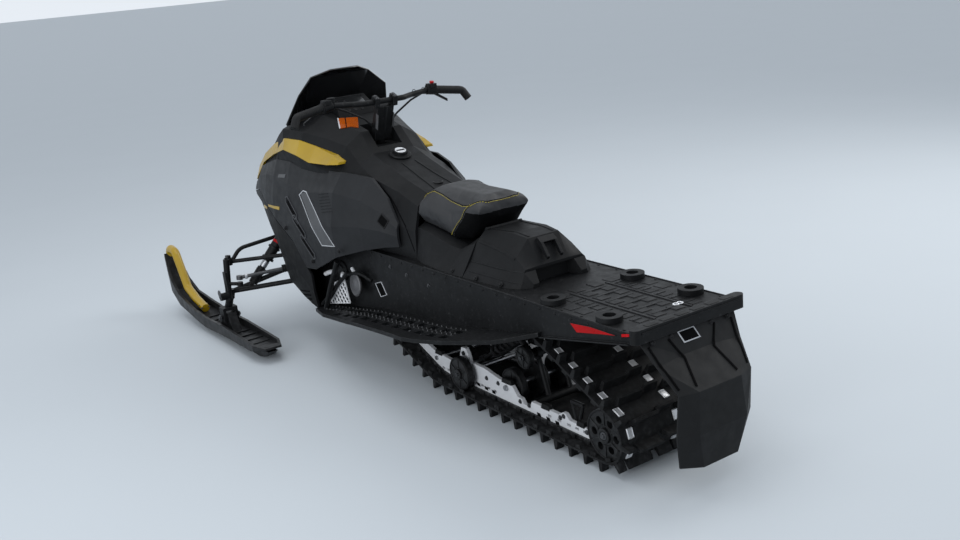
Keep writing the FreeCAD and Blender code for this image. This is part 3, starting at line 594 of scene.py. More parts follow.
def drum(name: str, start: Point, end: Point, radius: float, edge: float = 0.001, dish: float = 0.0,
         rim: float = 0.25, sides: int = 24) -> Piece:
    """Makes a round piece between two points, with rounded rims and a dished far end.

    Args:
        name: its name.
        start: the middle of its near end.
        end: the middle of its far end.
        radius: its radius.
        edge: the rounding of its rims.
        dish: how deep its far end is pressed in.
        rim: the width of the rim round the dish, as a share of the radius.
        sides: faces round it.

    Returns:
        The round piece.
    """
    choose()
    first, last = Vector(start), Vector(end)
    bpy.ops.mesh.primitive_cylinder_add(vertices=sides, radius=radius, depth=(last - first).length)
    piece = bpy.context.object
    with shaping(piece):
        pick(piece, lambda face: abs(face.normal.z) > 0.9)
        bpy.ops.mesh.bevel(offset=edge, segments=2)
        if dish:
            pick(piece, lambda face: face.normal.z > 0.99)
            bpy.ops.mesh.inset(thickness=radius * rim)
            bpy.ops.mesh.inset(thickness=min(dish, radius * 0.2) * 0.5, depth=-dish)
    piece.matrix_world = facing((first + last) / 2, last - first)
    return settle(piece, name)


def turned(name: str, outline: Sequence[Spot], start: Point, way: Point, steps: int = 24) -> Piece:
    """Spins a closed outline round a line.

    Args:
        name: its name.
        outline: distance along the line and radius of each corner.
        start: where the line starts.
        way: the line's direction.
        steps: faces round it.

    Returns:
        The turned piece.
    """
    choose()
    bpy.ops.mesh.primitive_circle_add(vertices=len(outline), radius=1.0)
    piece = bpy.context.object
    for vertex, (along, radius) in zip(piece.data.vertices, outline):
        vertex.co = (radius, 0.0, along)
    with shaping(piece, "VERT"):
        bpy.ops.mesh.spin(steps=steps, angle=math.tau, center=(0.0, 0.0, 0.0), axis=(0.0, 0.0, 1.0))
    piece.matrix_world = facing(start, way)
    return settle(piece, name)


def ring(name: str, spot: Point, way: Point, radius: float, thick: float, sides: int = 32) -> Piece:
    """Makes a round ring from a small circle spun round its axis.

    Args:
        name: its name.
        spot: its middle.
        way: its axis.
        radius: from its middle to its tube's middle.
        thick: its tube's radius.
        sides: steps round it.

    Returns:
        The ring.
    """
    corners = [i * math.tau / 8 for i in range(8)]
    outline = [(thick * math.sin(turn), radius + thick * math.cos(turn)) for turn in corners]
    return turned(name, outline, spot, way, sides)


def tube(name: str, line: Sequence[Point], radius: float, soft: bool = True, closed: bool = False) -> Piece:
    """Makes a round bar along a line.

    Args:
        name: its name.
        line: the points it passes.
        radius: its radius.
        soft: whether it bends smoothly, or has a corner at each point.
        closed: whether its ends meet.

    Returns:
        The bar.
    """
    choose()
    bpy.ops.curve.primitive_bezier_curve_add()
    curve = bpy.context.object.data
    knots = curve.splines[0].bezier_points
    knots.add(len(line) - 2)
    for knot, spot in zip(knots, line):
        knot.co = spot
        knot.handle_left_type = knot.handle_right_type = "AUTO" if soft else "VECTOR"
    curve.splines[0].use_cyclic_u = closed
    curve.bevel_depth = radius
    curve.bevel_resolution = 2
    curve.resolution_u = 8 if soft else 1
    curve.use_fill_caps = True
    bpy.ops.object.convert(target="MESH")
    piece = bpy.context.object
    close(piece)
    return settle(piece, name)


def panel(name: str, corners: Sequence[Point], push: Point, edge: float = 0.0008) -> Piece:
    """Makes a flat plate with bevelled edges.

    Args:
        name: its name.
        corners: the outline of its near face.
        push: the way from its near face to its far face.
        edge: the bevel.

    Returns:
        The plate.
    """
    choose()
    bpy.ops.mesh.primitive_circle_add(vertices=len(corners), fill_type="NGON")
    piece = bpy.context.object
    for vertex, spot in zip(piece.data.vertices, corners):
        vertex.co = spot
    with shaping(piece):
        bpy.ops.mesh.extrude_region_move(TRANSFORM_OT_translate={"value": push})
        bpy.ops.mesh.select_all(action="SELECT")
        bpy.ops.mesh.normals_make_consistent(inside=False)
        bpy.ops.mesh.bevel(offset=edge, segments=1)
    return settle(piece, name)


def pressed(piece: Piece, name: str, base: Piece, side: Side, thick: float) -> Piece:
    """Presses an open sheet on to a surface, and gives it its thickness.

    Args:
        piece: the sheet, outside the surface.
        name: its name.
        base: the piece with the surface.
        side: the way of the press.
        thick: the thickness.

    Returns:
        The sheet as a thin solid.
    """
    axis, sign = side.value
    before = [vertex.co.copy() for vertex in piece.data.vertices]
    modify(piece, "SHRINKWRAP", target=base, wrap_method="PROJECT", wrap_mode="ABOVE_SURFACE",
           offset=SHEET_LIFT, use_project_x=axis == "x", use_project_y=axis == "y", use_project_z=axis == "z",
           use_negative_direction=sign < 0, use_positive_direction=sign > 0)
    missed = {i for i, vertex in enumerate(piece.data.vertices) if (vertex.co - before[i]).length < MERGE}
    with shaping(piece, "VERT"):
        bpy.ops.mesh.select_all(action="DESELECT")
        mesh = bmesh.from_edit_mesh(piece.data)
        for vertex in mesh.verts:
            vertex.select_set(vertex.index in missed)
        bmesh.update_edit_mesh(piece.data)
        bpy.ops.mesh.delete(type="VERT")
    index = "xyz".index(axis)
    lean = sum(face.normal[index] * face.area for face in piece.data.polygons)
    if lean * sign > 0:
        choose(piece)
        bpy.ops.object.mode_set(mode="EDIT")
        bpy.ops.mesh.select_all(action="SELECT")
        bpy.ops.mesh.flip_normals()
        bpy.ops.object.mode_set(mode="OBJECT")
    modify(piece, "SOLIDIFY", thickness=thick, offset=1.0)
    close(piece)
    return settle(piece, name)


def laid(name: str, corners: Sequence[Point], base: Piece, side: Side, thick: float = 0.001,
         cuts: tuple[int, int] = (10, 4)) -> Piece:
    """Lays a four-cornered sheet on a surface.

    Args:
        name: its name.
        corners: its four corners in order, outside the surface.
        base: the piece with the surface.
        side: the way in which it is pressed on.
        thick: its thickness.
        cuts: its faces along the first edge and along the second.

    Returns:
        The sheet.
    """
    choose()
    bpy.ops.mesh.primitive_grid_add(x_subdivisions=cuts[0], y_subdivisions=cuts[1], size=1.0)
    piece = bpy.context.object
    a, b, c, d = (Vector(corner) for corner in corners)
    for vertex in piece.data.vertices:
        u, v = vertex.co.x + 0.5, vertex.co.y + 0.5
        vertex.co = a.lerp(b, u).lerp(d.lerp(c, u), v)
    return pressed(piece, name, base, side, thick)


def ribbon(name: str, line: Sequence[Point], band: Pair, base: Piece, side: Side,
           closed: bool = False) -> Piece:
    """Lays a narrow band along a line on a surface.

    Args:
        name: its name.
        line: the points it passes, outside the surface.
        band: its width and thickness.
        base: the piece with the surface.
        side: the way in which it is pressed on.
        closed: whether its ends meet.

    Returns:
        The band.
    """
    width, thick = band
    ends = [Vector(spot) for spot in line]
    if closed:
        ends.append(ends[0])
    spots = [ends[0]]
    for start, end in zip(ends, ends[1:]):
        count = max(1, round((end - start).length / BAND_STEP))
        spots += [start.lerp(end, i / count) for i in range(1, count + 1)]
    out = Vector([-side.value[1] if axis == side.value[0] else 0.0 for axis in "xyz"])
    choose()
    bpy.ops.mesh.primitive_grid_add(x_subdivisions=len(spots) - 1, y_subdivisions=1, size=1.0)
    piece = bpy.context.object
    for vertex in piece.data.vertices:
        i = round((vertex.co.x + 0.5) * (len(spots) - 1))
        before = spots[i] - spots[i - 1] if i else None
        after = spots[i + 1] - spots[i] if i + 1 < len(spots) else None
        if closed:
            before = before or spots[-1] - spots[-2]
            after = after or spots[1] - spots[0]
        sides = [way.cross(out).normalized() for way in (before, after) if way]
        across = sum(sides, Vector()) / len(sides)
        across /= max(across.length_squared, 0.25)
        vertex.co = spots[i] + across * math.copysign(width / 2, vertex.co.y)
    return pressed(piece, name, base, side, thick)


def bolts(name: str, spots: Sequence[tuple[Point, Point]], radius: float = 0.006) -> Piece:
    """Sets hexagon bolts with washers.

    Args:
        name: their name.
        spots: the place and direction of each.
        radius: of the head.

    Returns:
        The bolts as one piece.
    """
    washer = drum("washer", (0, 0, 0), (0, 0, radius * 0.25), radius * 1.5, edge=radius * 0.08, sides=16)
    foot, top = (0, 0, radius * 0.2), (0, 0, radius * 0.9)
    head = drum("head", foot, top, radius, radius * 0.12, radius * 0.2, sides=6)
    return repeated(name, joined("bolt", [washer, head]), [facing(spot, way) for spot, way in spots])


def beside(spots: Sequence[Spot], out: float = BESIDE) -> list[Point]:
    """Stands the points of a left side view out beside the sled."""
    return [(x, out, z) for x, z in spots]


def node(name: str) -> Piece:
    """Finds a CAD node by its name."""
    return frame["nodes"][name]


@dataclass
class Assembly:
    """Pieces that are built together and ride on one body."""

    body: str = "chassis"

    def keep(self, finish: Finish, *pieces: Piece) -> None:
        """Dresses pieces and lets them ride.

        Args:
            finish: their surface.
            pieces: the pieces.
        """
        finish.dress(*pieces)
        for piece in pieces:
            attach(piece, self.body)
            log.info("%s: %s, %d faces", type(self).__name__, piece.name, len(piece.data.polygons))

    def pair(self, finish: Finish, piece: Piece) -> None:
        """Keeps a left piece together with its mirror image."""
        self.keep(finish, mirrored(piece))


@dataclass
class Seat(Assembly):
    """The stuffed saddle with its seams and bright stitching."""

    cell: float = 0.006
    swell: float = 0.006
    frames: int = 20
    pitch: float = 0.0085
    shoulder: tuple[Point, ...] = (
        (-0.285, 0.108, 0.718), (-0.3037, 0.098, 0.7345), (-0.351, 0.096, 0.750), (-0.400, 0.094, 0.741),
        (-0.454, 0.099, 0.730), (-0.528, 0.102, 0.720), (-0.577, 0.098, 0.7255), (-0.605, 0.088, 0.732),
        (-0.630, 0.065, 0.735), (-0.636, 0.030, 0.737), (-0.637, 0.0, 0.7375))
    flank: tuple[Point, ...] = (
        (-0.573, 0.099, 0.722), (-0.556, 0.110, 0.700), (-0.5395, 0.1163, 0.669), (-0.518, 0.117, 0.650),
        (-0.497, 0.1155, 0.6305), (-0.451, 0.114, 0.590))
    back_top: float = 0.699
    back_gap: float = 0.005
    welt_radius: float = 0.0012
    welt_lift: float = 0.0002
    thread_radius: float = 0.0009
    stitch_long: float = 0.0058
    stitch_aside: float = 0.0045
    stitch_lift: float = 0.0004
    stitch_back: float = 0.0028

    def build(self) -> None:
        """Builds the saddle, then lays its seams on it."""
        pad = self.pad()
        skin = BVHTree.FromObject(pad, bpy.context.evaluated_depsgraph_get())
        left, right = self.shoulder, [(x, -y, z) for x, y, z in reversed(self.shoulder[:-1])]
        self.seam("seat_top", pad, skin, [*left, *right])
        self.seam("seat_flank_left", pad, skin, self.flank)
        self.seam("seat_flank_right", pad, skin, [(x, -y, z) for x, y, z in self.flank])
        self.hollow(pad)

    def hollow(self, pad: Piece) -> None:
        """Gives the faces behind the flank seams and below the rear edge a near-black finish, painted shade
        of the hollow back.

        Args:
            pad: the cover.
        """
        line = [(z, x) for x, _, z in self.flank]

        def seam_at(height: float) -> float:
            """Gives the seam's place along the sled at a height."""
            for (z0, x0), (z1, x1) in zip(line, line[1:]):
                if height >= z1:
                    return x0 + (x1 - x0) * (height - z0) / (z1 - z0)
            return line[-1][1]

        def behind(spot: Vector) -> bool:
            """Says whether a spot lies behind the seam and below the rear edge."""
            return spot.z < self.back_top and spot.x < seam_at(spot.z) - self.back_gap

        # The near-black second material paints the shade in the hollow under the seat's rear.
        pad.data.materials.append(DARK_PLATE_AND_PAINTED_SHADE.material())
        choose(pad)
        bpy.ops.object.mode_set(mode="EDIT")
        bpy.ops.mesh.select_mode(type="FACE")
        pick(pad, lambda face: behind(face.calc_center_median()))
        pad.active_material_index = 1
        bpy.ops.object.material_slot_assign()
        bpy.ops.object.mode_set(mode="OBJECT")

    def pad(self) -> Piece:
        """Swells a copy of the plain seat as a stuffed cover.

        Returns:
            The saddle.
        """
        plain = node("seat")
        pad = twin_of(plain)
        pad.parent = None
        pad.matrix_world = Matrix()
        pad.data.transform(plain.matrix_world)
        close(pad)
        modify(pad, "REMESH", mode="VOXEL", voxel_size=self.cell)
        flat = [vertex.co.copy() for vertex in pad.data.vertices]
        self.stuff(pad)
        for vertex, start in zip(pad.data.vertices, flat):
            move = vertex.co - start
            vertex.co = start + move * min(1.0, self.swell / max(move.length, 1e-6))
        modify(pad, "SMOOTH", factor=0.5, iterations=3)
        modify(pad, "SUBSURF", levels=1, render_levels=1)
        settle(pad, "seat_cover", math.pi)
        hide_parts("seat")
        self.keep(VINYL, pad)
        return pad

    def stuff(self, pad: Piece) -> None:
        """Blows the cover up a little, as its foam does.

        Args:
            pad: the closed cover.
        """
        scene = bpy.context.scene
        choose(pad)
        bpy.ops.object.modifier_add(type="CLOTH")
        cloth = pad.modifiers[-1]
        cloth.settings.use_pressure = True
        cloth.settings.uniform_pressure_force = 4.0
        cloth.settings.tension_stiffness = cloth.settings.compression_stiffness = 25.0
        cloth.settings.effector_weights.gravity = 0.0
        cloth.point_cache.frame_start, cloth.point_cache.frame_end = 1, self.frames
        for step in range(1, self.frames + 1):
            scene.frame_set(step)
        bpy.ops.object.modifier_apply(modifier=cloth.name)
        scene.frame_set(1)

    def seam(self, name: str, pad: Piece, skin: BVHTree, line: Sequence[Point]) -> None:
        """Sews a seam: a sunken welt, near-black as painted shade in the seam's groove, with a row of
        stitches beside it.

        Args:
            name: its name.
            pad: not used.
            skin: the cover's surface.
            line: points along the seam, near the surface.
        """
        ends = [Vector(spot) for spot in line]
        reach = [0.0]
        for start, end in zip(ends, ends[1:]):
            reach.append(reach[-1] + (end - start).length)
        spots, moves = [], []
        count = int(reach[-1] / self.pitch)
        for i in range(count + 1):
            at = reach[-1] * i / count
            leg = max(k for k in range(len(ends) - 1) if reach[k] <= at)
            share = (at - reach[leg]) / (reach[leg + 1] - reach[leg])
            place, normal, *_ = skin.find_nearest(ends[leg].lerp(ends[leg + 1], share))
            spots.append(place + normal * self.welt_lift)
            along = (ends[leg + 1] - ends[leg]).normalized()
            aside = along.cross(normal).normalized()
            place, normal, *_ = skin.find_nearest(place + aside * self.stitch_aside)
            moves.append(facing(place + normal * self.stitch_lift - along * self.stitch_back, along))
        welt = tube(name + "_welt", spots, self.welt_radius)
        stitch = drum("stitch", (0, 0, 0), (0, 0, self.stitch_long), self.thread_radius, edge=0.0004, sides=6)
        # The welt's near-black finish is painted shade in the seam's groove.
        self.keep(DARK_PLATE_AND_PAINTED_SHADE, welt)
        self.keep(THREAD, repeated(name + "_stitches", stitch, moves))


@dataclass
class SidePanels(Assembly):
    """Vents, the bare plate and the lines of the left and right side panels."""

    slots: tuple[tuple[Spot, Spot], ...] = (
        ((0.517, 0.6455), (0.4453, 0.5917)),
        ((0.452, 0.5759), (0.3764, 0.5201)),
        ((0.4025, 0.4992), (0.3183, 0.4400)),
    )
    slot_wide: float = 0.024
    slot_thick: float = 0.0004
    lip: Pair = (0.0048, 0.0026)
    lip_tip: float = 0.8
    lip_heel: float = 0.4
    lip_aside: float = 0.75
    louvres: tuple[Spot, Spot, Spot] = ((0.2394, 0.7006), (0.1555, 0.7147), (0.2000, 0.6350))
    louvre_count: int = 7
    louvre_band: Pair = (0.0024, 0.0009)
    plate: Outline = ((0.400, 0.682), (0.366, 0.702), (0.338, 0.701), (0.115, 0.510), (0.222, 0.497))
    plate_trim: float = 0.3
    plate_thick: float = 0.0007
    border: Pair = (0.0036, 0.0016)
    latch: Outline = ((-0.134, 0.656), (-0.162, 0.630), (-0.146, 0.602), (-0.118, 0.628))
    latch_thick: float = 0.0005
    latch_rim: Pair = (0.004, 0.002)
    tag: Outline = ((0.6203, 0.7428), (0.5472, 0.7502), (0.5520, 0.7350), (0.6240, 0.7290))
    stripe: Outline = ((0.7500, 0.5975), (0.6036, 0.6074), (0.6099, 0.5924), (0.7520, 0.5870))
    bolt_out: float = 0.3045
    bolt_spots: Outline = ((0.070, 0.500), (0.560, 0.520), (0.330, 0.412))
    bolt_radius: float = 0.007

    def build(self) -> None:
        """Builds every piece on the left and mirrors it."""
        self.vents()
        self.plates()
        self.fasteners()

    def vents(self) -> None:
        """Adds the three slanted slots, each a near-black bed of painted shade in a raised lip, and the fine
        louvres.
        """
        side = node("side_panels")
        beds, lips = [], []
        for start, end in self.slots:
            # Each bed is a near-black strip: painted shade inside the slot.
            bed = beside([start, end])
            beds.append(ribbon("bed", bed, (self.slot_wide, self.slot_thick), side, Side.LEFT))
            rim = beside(self.lip_round(Vector(start), Vector(end)))
            lips.append(ribbon("lip", rim, self.lip, side, Side.LEFT, closed=True))
        self.pair(DARK_PLATE_AND_PAINTED_SHADE, joined("panel_slots", beds))
        self.pair(RIB_PLASTIC, joined("panel_slot_lips", lips))
        top, rear, low = (Vector(spot) for spot in self.louvres)
        fins = []
        for i in range(self.louvre_count):
            drop = (low - top) * i / (self.louvre_count - 1)
            line = beside([tuple(top + drop), tuple(rear + drop)])
            fins.append(ribbon("fin", line, self.louvre_band, side, Side.LEFT))
        self.pair(BODY_PLASTIC, joined("panel_louvres", fins))

    def lip_round(self, start: Vector, end: Vector) -> list[Spot]:
        """Draws the six-cornered lip round a slot.

        Args:
            start: the slot's upper end.
            end: its lower end.

        Returns:
            The lip's corners in a side view.
        """
        tip = (end - start).normalized() * self.slot_wide * self.lip_tip
        heel = tip * self.lip_heel
        aside = Vector((-tip.y, tip.x)) * self.lip_aside
        upper = [start - heel + aside, end + heel + aside, end + tip]
        lower = [end + heel - aside, start - heel - aside, start - tip]
        return [tuple(spot) for spot in upper + lower]

    def plates(self) -> None:
        """Adds the bare slanted plate with its pale border, the latch hole as a near-black sheet of painted
        shade, a small tag and a stripe.
        """
        side = node("side_panels")
        first, second, *rest = self.plate
        trimmed = tuple(Vector(first).lerp(Vector(second), self.plate_trim))
        quad = beside([trimmed, *rest])
        plate = laid("panel_plate", quad, side, Side.LEFT, thick=self.plate_thick, cuts=(4, 20))
        self.pair(PLATE_PLASTIC, plate)
        edge = beside(self.plate)
        border = ribbon("panel_plate_border", edge, self.border, side, Side.LEFT, closed=True)
        self.pair(PALE_TRIM, border)
        corners = beside(self.latch)
        # The latch hole is a near-black sheet: painted shade in the hole.
        hole = laid("latch_hole", corners, side, Side.LEFT, thick=self.latch_thick, cuts=(4, 4))
        rim = ribbon("latch_rim", corners, self.latch_rim, side, Side.LEFT, closed=True)
        self.pair(DARK_PLATE_AND_PAINTED_SHADE, hole)
        self.pair(BODY_PLASTIC, rim)
        tag = laid("panel_tag", beside(self.tag), side, Side.LEFT, cuts=(6, 2))
        self.pair(PLATE_PLASTIC, tag)
        stripe = laid("panel_stripe", beside(self.stripe), side, Side.LEFT, cuts=(12, 2))
        self.pair(YELLOW, stripe)

    def fasteners(self) -> None:
        """Adds the panel's fasteners."""
        spots = [((x, self.bolt_out, z), (0, 1, 0)) for x, z in self.bolt_spots]
        self.pair(SLED_BLACK, bolts("panel_bolts", spots, self.bolt_radius))


@dataclass
class Nose(Assembly):
    """Bright corner strips, the pan's louvres, the hood's lines, mouth bars and lamp frames."""

    above: float = 1.0
    strip: Outline = ((0.857, 0.5785), (0.775, 0.5830), (0.780, 0.5710), (0.876, 0.5600))
    louvre: tuple[Spot, Spot] = ((0.5571, 0.2350), (0.4398, 0.2560))
    louvre_count: int = 4
    louvre_drop: float = 0.018
    louvre_band: Pair = (0.006, 0.0015)
    ridge: tuple[float, ...] = (0.730, 0.900, 1.040, 1.140)
    ridge_band: Pair = (0.030, 0.0016)
    slot_count: int = 4
    slot_rear: float = 0.780
    slot_pitch: float = 0.050
    slot_outer: float = 0.115
    slot_inner: float = 0.060
    slot_taper: float = 0.006
    slot_lean: float = 0.030
    slot_band: Pair = (0.012, 0.0012)
    lamp: Outline = ((0.094, 0.611), (0.084, 0.650), (0.046, 0.670))
    lamp_inset: float = 0.0015
    lamp_frame: float = 0.004
    bar_count: int = 3
    bar_front: float = 1.150
    bar_half: float = 0.09
    bar_top: float = 0.592
    bar_taper: float = 0.008
    bar_drop: float = 0.006
    bar_radius: float = 0.002

    def build(self) -> None:
        """Builds every piece."""
        pan = node("belly_pan")
        strip = laid("nose_strip", beside(self.strip), pan, Side.LEFT, cuts=(8, 2))
        self.pair(YELLOW, strip)
        # The pan's louvre slits are near-black strips: painted shade in the slits.
        slits = []
        for i in range(self.louvre_count):
            line = beside([(x, z - self.louvre_drop * i) for x, z in self.louvre])
            slits.append(ribbon("slit", line, self.louvre_band, pan, Side.LEFT))
        self.pair(DARK_PLATE_AND_PAINTED_SHADE, joined("pan_louvres", slits))
        self.hood_lines()
        self.lamps()
        self.mouth()

    def hood_lines(self) -> None:
        """Adds the hood's middle ridge and its air slots, near-black strips of painted shade."""
        hood = node("hood")
        line = [(x, 0, self.above) for x in self.ridge]
        ridge = ribbon("hood_ridge", line, self.ridge_band, hood, Side.TOP)
        self.keep(BODY_PLASTIC, ridge)
        # The air slots are near-black strips: painted shade in the slots.
        slots = []
        for i in range(self.slot_count):
            x = self.slot_rear + self.slot_pitch * i
            outer = (x, self.slot_outer - self.slot_taper * i, self.above)
            line = [outer, (x + self.slot_lean, self.slot_inner, self.above)]
            slots.append(ribbon("slot", line, self.slot_band, hood, Side.TOP))
        self.pair(DARK_PLATE_AND_PAINTED_SHADE, joined("hood_slots", slots))

    def lamps(self) -> None:
        """Frames the headlights."""
        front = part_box("headlights")[1].x
        rim = [(front - self.lamp_inset, y, z) for y, z in self.lamp]
        rim += [(x, -y, z) for x, y, z in reversed(rim)]
        self.keep(BODY_PLASTIC, tube("lamp_rim", rim, self.lamp_frame, soft=False, closed=True))

    def mouth(self) -> None:
        """Bars the mouth below the headlights."""
        bars = []
        for i in range(self.bar_count):
            half, z = self.bar_half - self.bar_taper * i, self.bar_top - self.bar_drop * i
            line = [(self.bar_front, -half, z), (self.bar_front, half, z)]
            bars.append(tube("bar", line, self.bar_radius, soft=False))
        self.keep(SLED_BLACK, joined("mouth_bars", bars))


@dataclass
class Dash(Assembly):
    """The gauge's glass and keys, the amber reflector, the filler cap and the console's lines."""

    above: float = 1.2
    amber: Outline = ((0.352, 0.095), (0.327, 0.016), (0.219, 0.075), (0.280, 0.126))
    amber_thick: float = 0.0030
    amber_split: float = 0.36
    amber_gap: Pair = (0.004, 0.0036)
    amber_edge: Pair = (0.005, 0.0036)
    edge: Outline = (
        (-0.0074, 0.775), (-0.0700, 0.742), (-0.1237, 0.7086), (-0.1739, 0.6613), (-0.2310, 0.6119),
        (-0.2778, 0.5238))
    edge_band: Pair = (0.004, 0.0006)
    spine: Outline = ((-0.020, 0.030), (-0.110, 0.034), (-0.215, 0.040), (-0.270, 0.044))
    spine_band: Pair = (0.006, 0.0020)
    recess: tuple[Point, Point] = ((-0.222, 0, 0.744), (-0.2225, 0, 0.7505))
    recess_radius: float = 0.020
    glass_low: Point = (0.3735, 0.0, 1.0105)
    glass_high: Point = (0.4315, 0.0, 1.0428)
    glass_way: Point = (-0.488, 0.0, 0.873)
    glass_half: float = 0.062
    glass_lift: float = 0.0002
    glass_thick: float = 0.0015
    glass_rim: float = 0.0028
    key_foot: Spot = (0.3665, 0.992)
    key_top: Spot = (0.3635, 0.9935)
    key_places: tuple[float, ...] = (-0.03, 0.0, 0.03)
    key_radius: float = 0.006
    cap: Point = (0.0425, 0.0, 0.826)
    cap_way: Point = (-0.33, 0.0, 0.944)
    cap_ribs: int = 24

    def build(self) -> None:
        """Builds every piece."""
        self.screen()
        self.reflector()
        self.filler()
        self.console_lines()

    def console_lines(self) -> None:
        """Adds the gap along the console's side, a near-black strip of painted shade, the two lines on its
        top and the recess behind them.
        """
        console = node("console")
        # The gap is a near-black strip: painted shade in the gap.
        gap = ribbon("console_gap", beside(self.edge), self.edge_band, console, Side.LEFT)
        self.pair(DARK_PLATE_AND_PAINTED_SHADE, gap)
        line = [(x, y, self.above) for x, y in self.spine]
        spine = ribbon("console_spine", line, self.spine_band, console, Side.TOP)
        self.pair(BODY_PLASTIC, spine)
        self.keep(SLED_BLACK, drum("console_recess", *self.recess, self.recess_radius, dish=0.004, rim=0.2))

    def reflector(self) -> None:
        """Lays the amber reflector, with the gap across it, a near-black strip of painted shade, and its pale
        outer edge.
        """
        console = node("console")
        corners = [(x, y, self.above) for x, y in self.amber]
        lens = laid("dash_reflector", corners, console, Side.TOP, thick=self.amber_thick, cuts=(8, 6))
        self.keep(AMBER, lens)
        first, second, third, fourth = (Vector(corner) for corner in corners)
        split = [first.lerp(second, self.amber_split), fourth.lerp(third, self.amber_split)]
        # The gap is a near-black strip: painted shade in the split.
        gap = ribbon("dash_reflector_gap", split, self.amber_gap, console, Side.TOP)
        self.keep(DARK_PLATE_AND_PAINTED_SHADE, gap)
        edge = ribbon("dash_reflector_edge", [fourth, first], self.amber_edge, console, Side.TOP)
        self.keep(PALE_TRIM, edge)

    def screen(self) -> None:
        """Sets the gauge's glass in a rim, with three keys below it."""
        low, high, out = Vector(self.glass_low), Vector(self.glass_high), Vector(self.glass_way)
        half = Vector((0.0, self.glass_half, 0.0))
        corners = [low - half, low + half, high + half, high - half]
        near = [spot + out * self.glass_lift for spot in corners]
        self.keep(SCREEN, panel("gauge_glass", near, out * self.glass_thick))
        rim = [spot + out * self.glass_thick for spot in corners]
        self.keep(SLED_BLACK, tube("gauge_rim", rim, self.glass_rim, soft=False, closed=True))
        (x0, z0), (x1, z1) = self.key_foot, self.key_top
        keys = [drum("key", (x0, y, z0), (x1, y, z1), self.key_radius, dish=0.0008) for y in self.key_places]
        self.keep(RUBBER, joined("gauge_keys", keys))

    def filler(self) -> None:
        """Adds the filler's seat ring, and the cap's grip ribs, bright top and handle."""
        way = Vector(self.cap_way).normalized()
        top = Vector(self.cap)
        self.keep(SLED_BLACK, ring("filler_seat", top + way * 0.008, way, 0.040, 0.0045, 40))
        rib = block("rib", (0.0270, -0.0016, 0.014), (0.0296, 0.0016, 0.0236), edge=0.0005)
        stand = facing(top, way)
        turns = [stand @ Matrix.Rotation(i * math.tau / self.cap_ribs, 4, "Z") for i in range(self.cap_ribs)]
        self.keep(SLED_BLACK, repeated("filler_ribs", rib, turns))
        disc = drum("filler_top", top + way * 0.0235, top + way * 0.0252, 0.0225, 0.0005, 0.0008, 0.15)
        self.keep(CLIP, disc)
        bar = block("filler_handle", (-0.019, -0.0045, 0.0244), (0.019, 0.0045, 0.0262), 0.0008, 0.9)
        bar.data.transform(stand)
        self.keep(SLED_BLACK, bar)


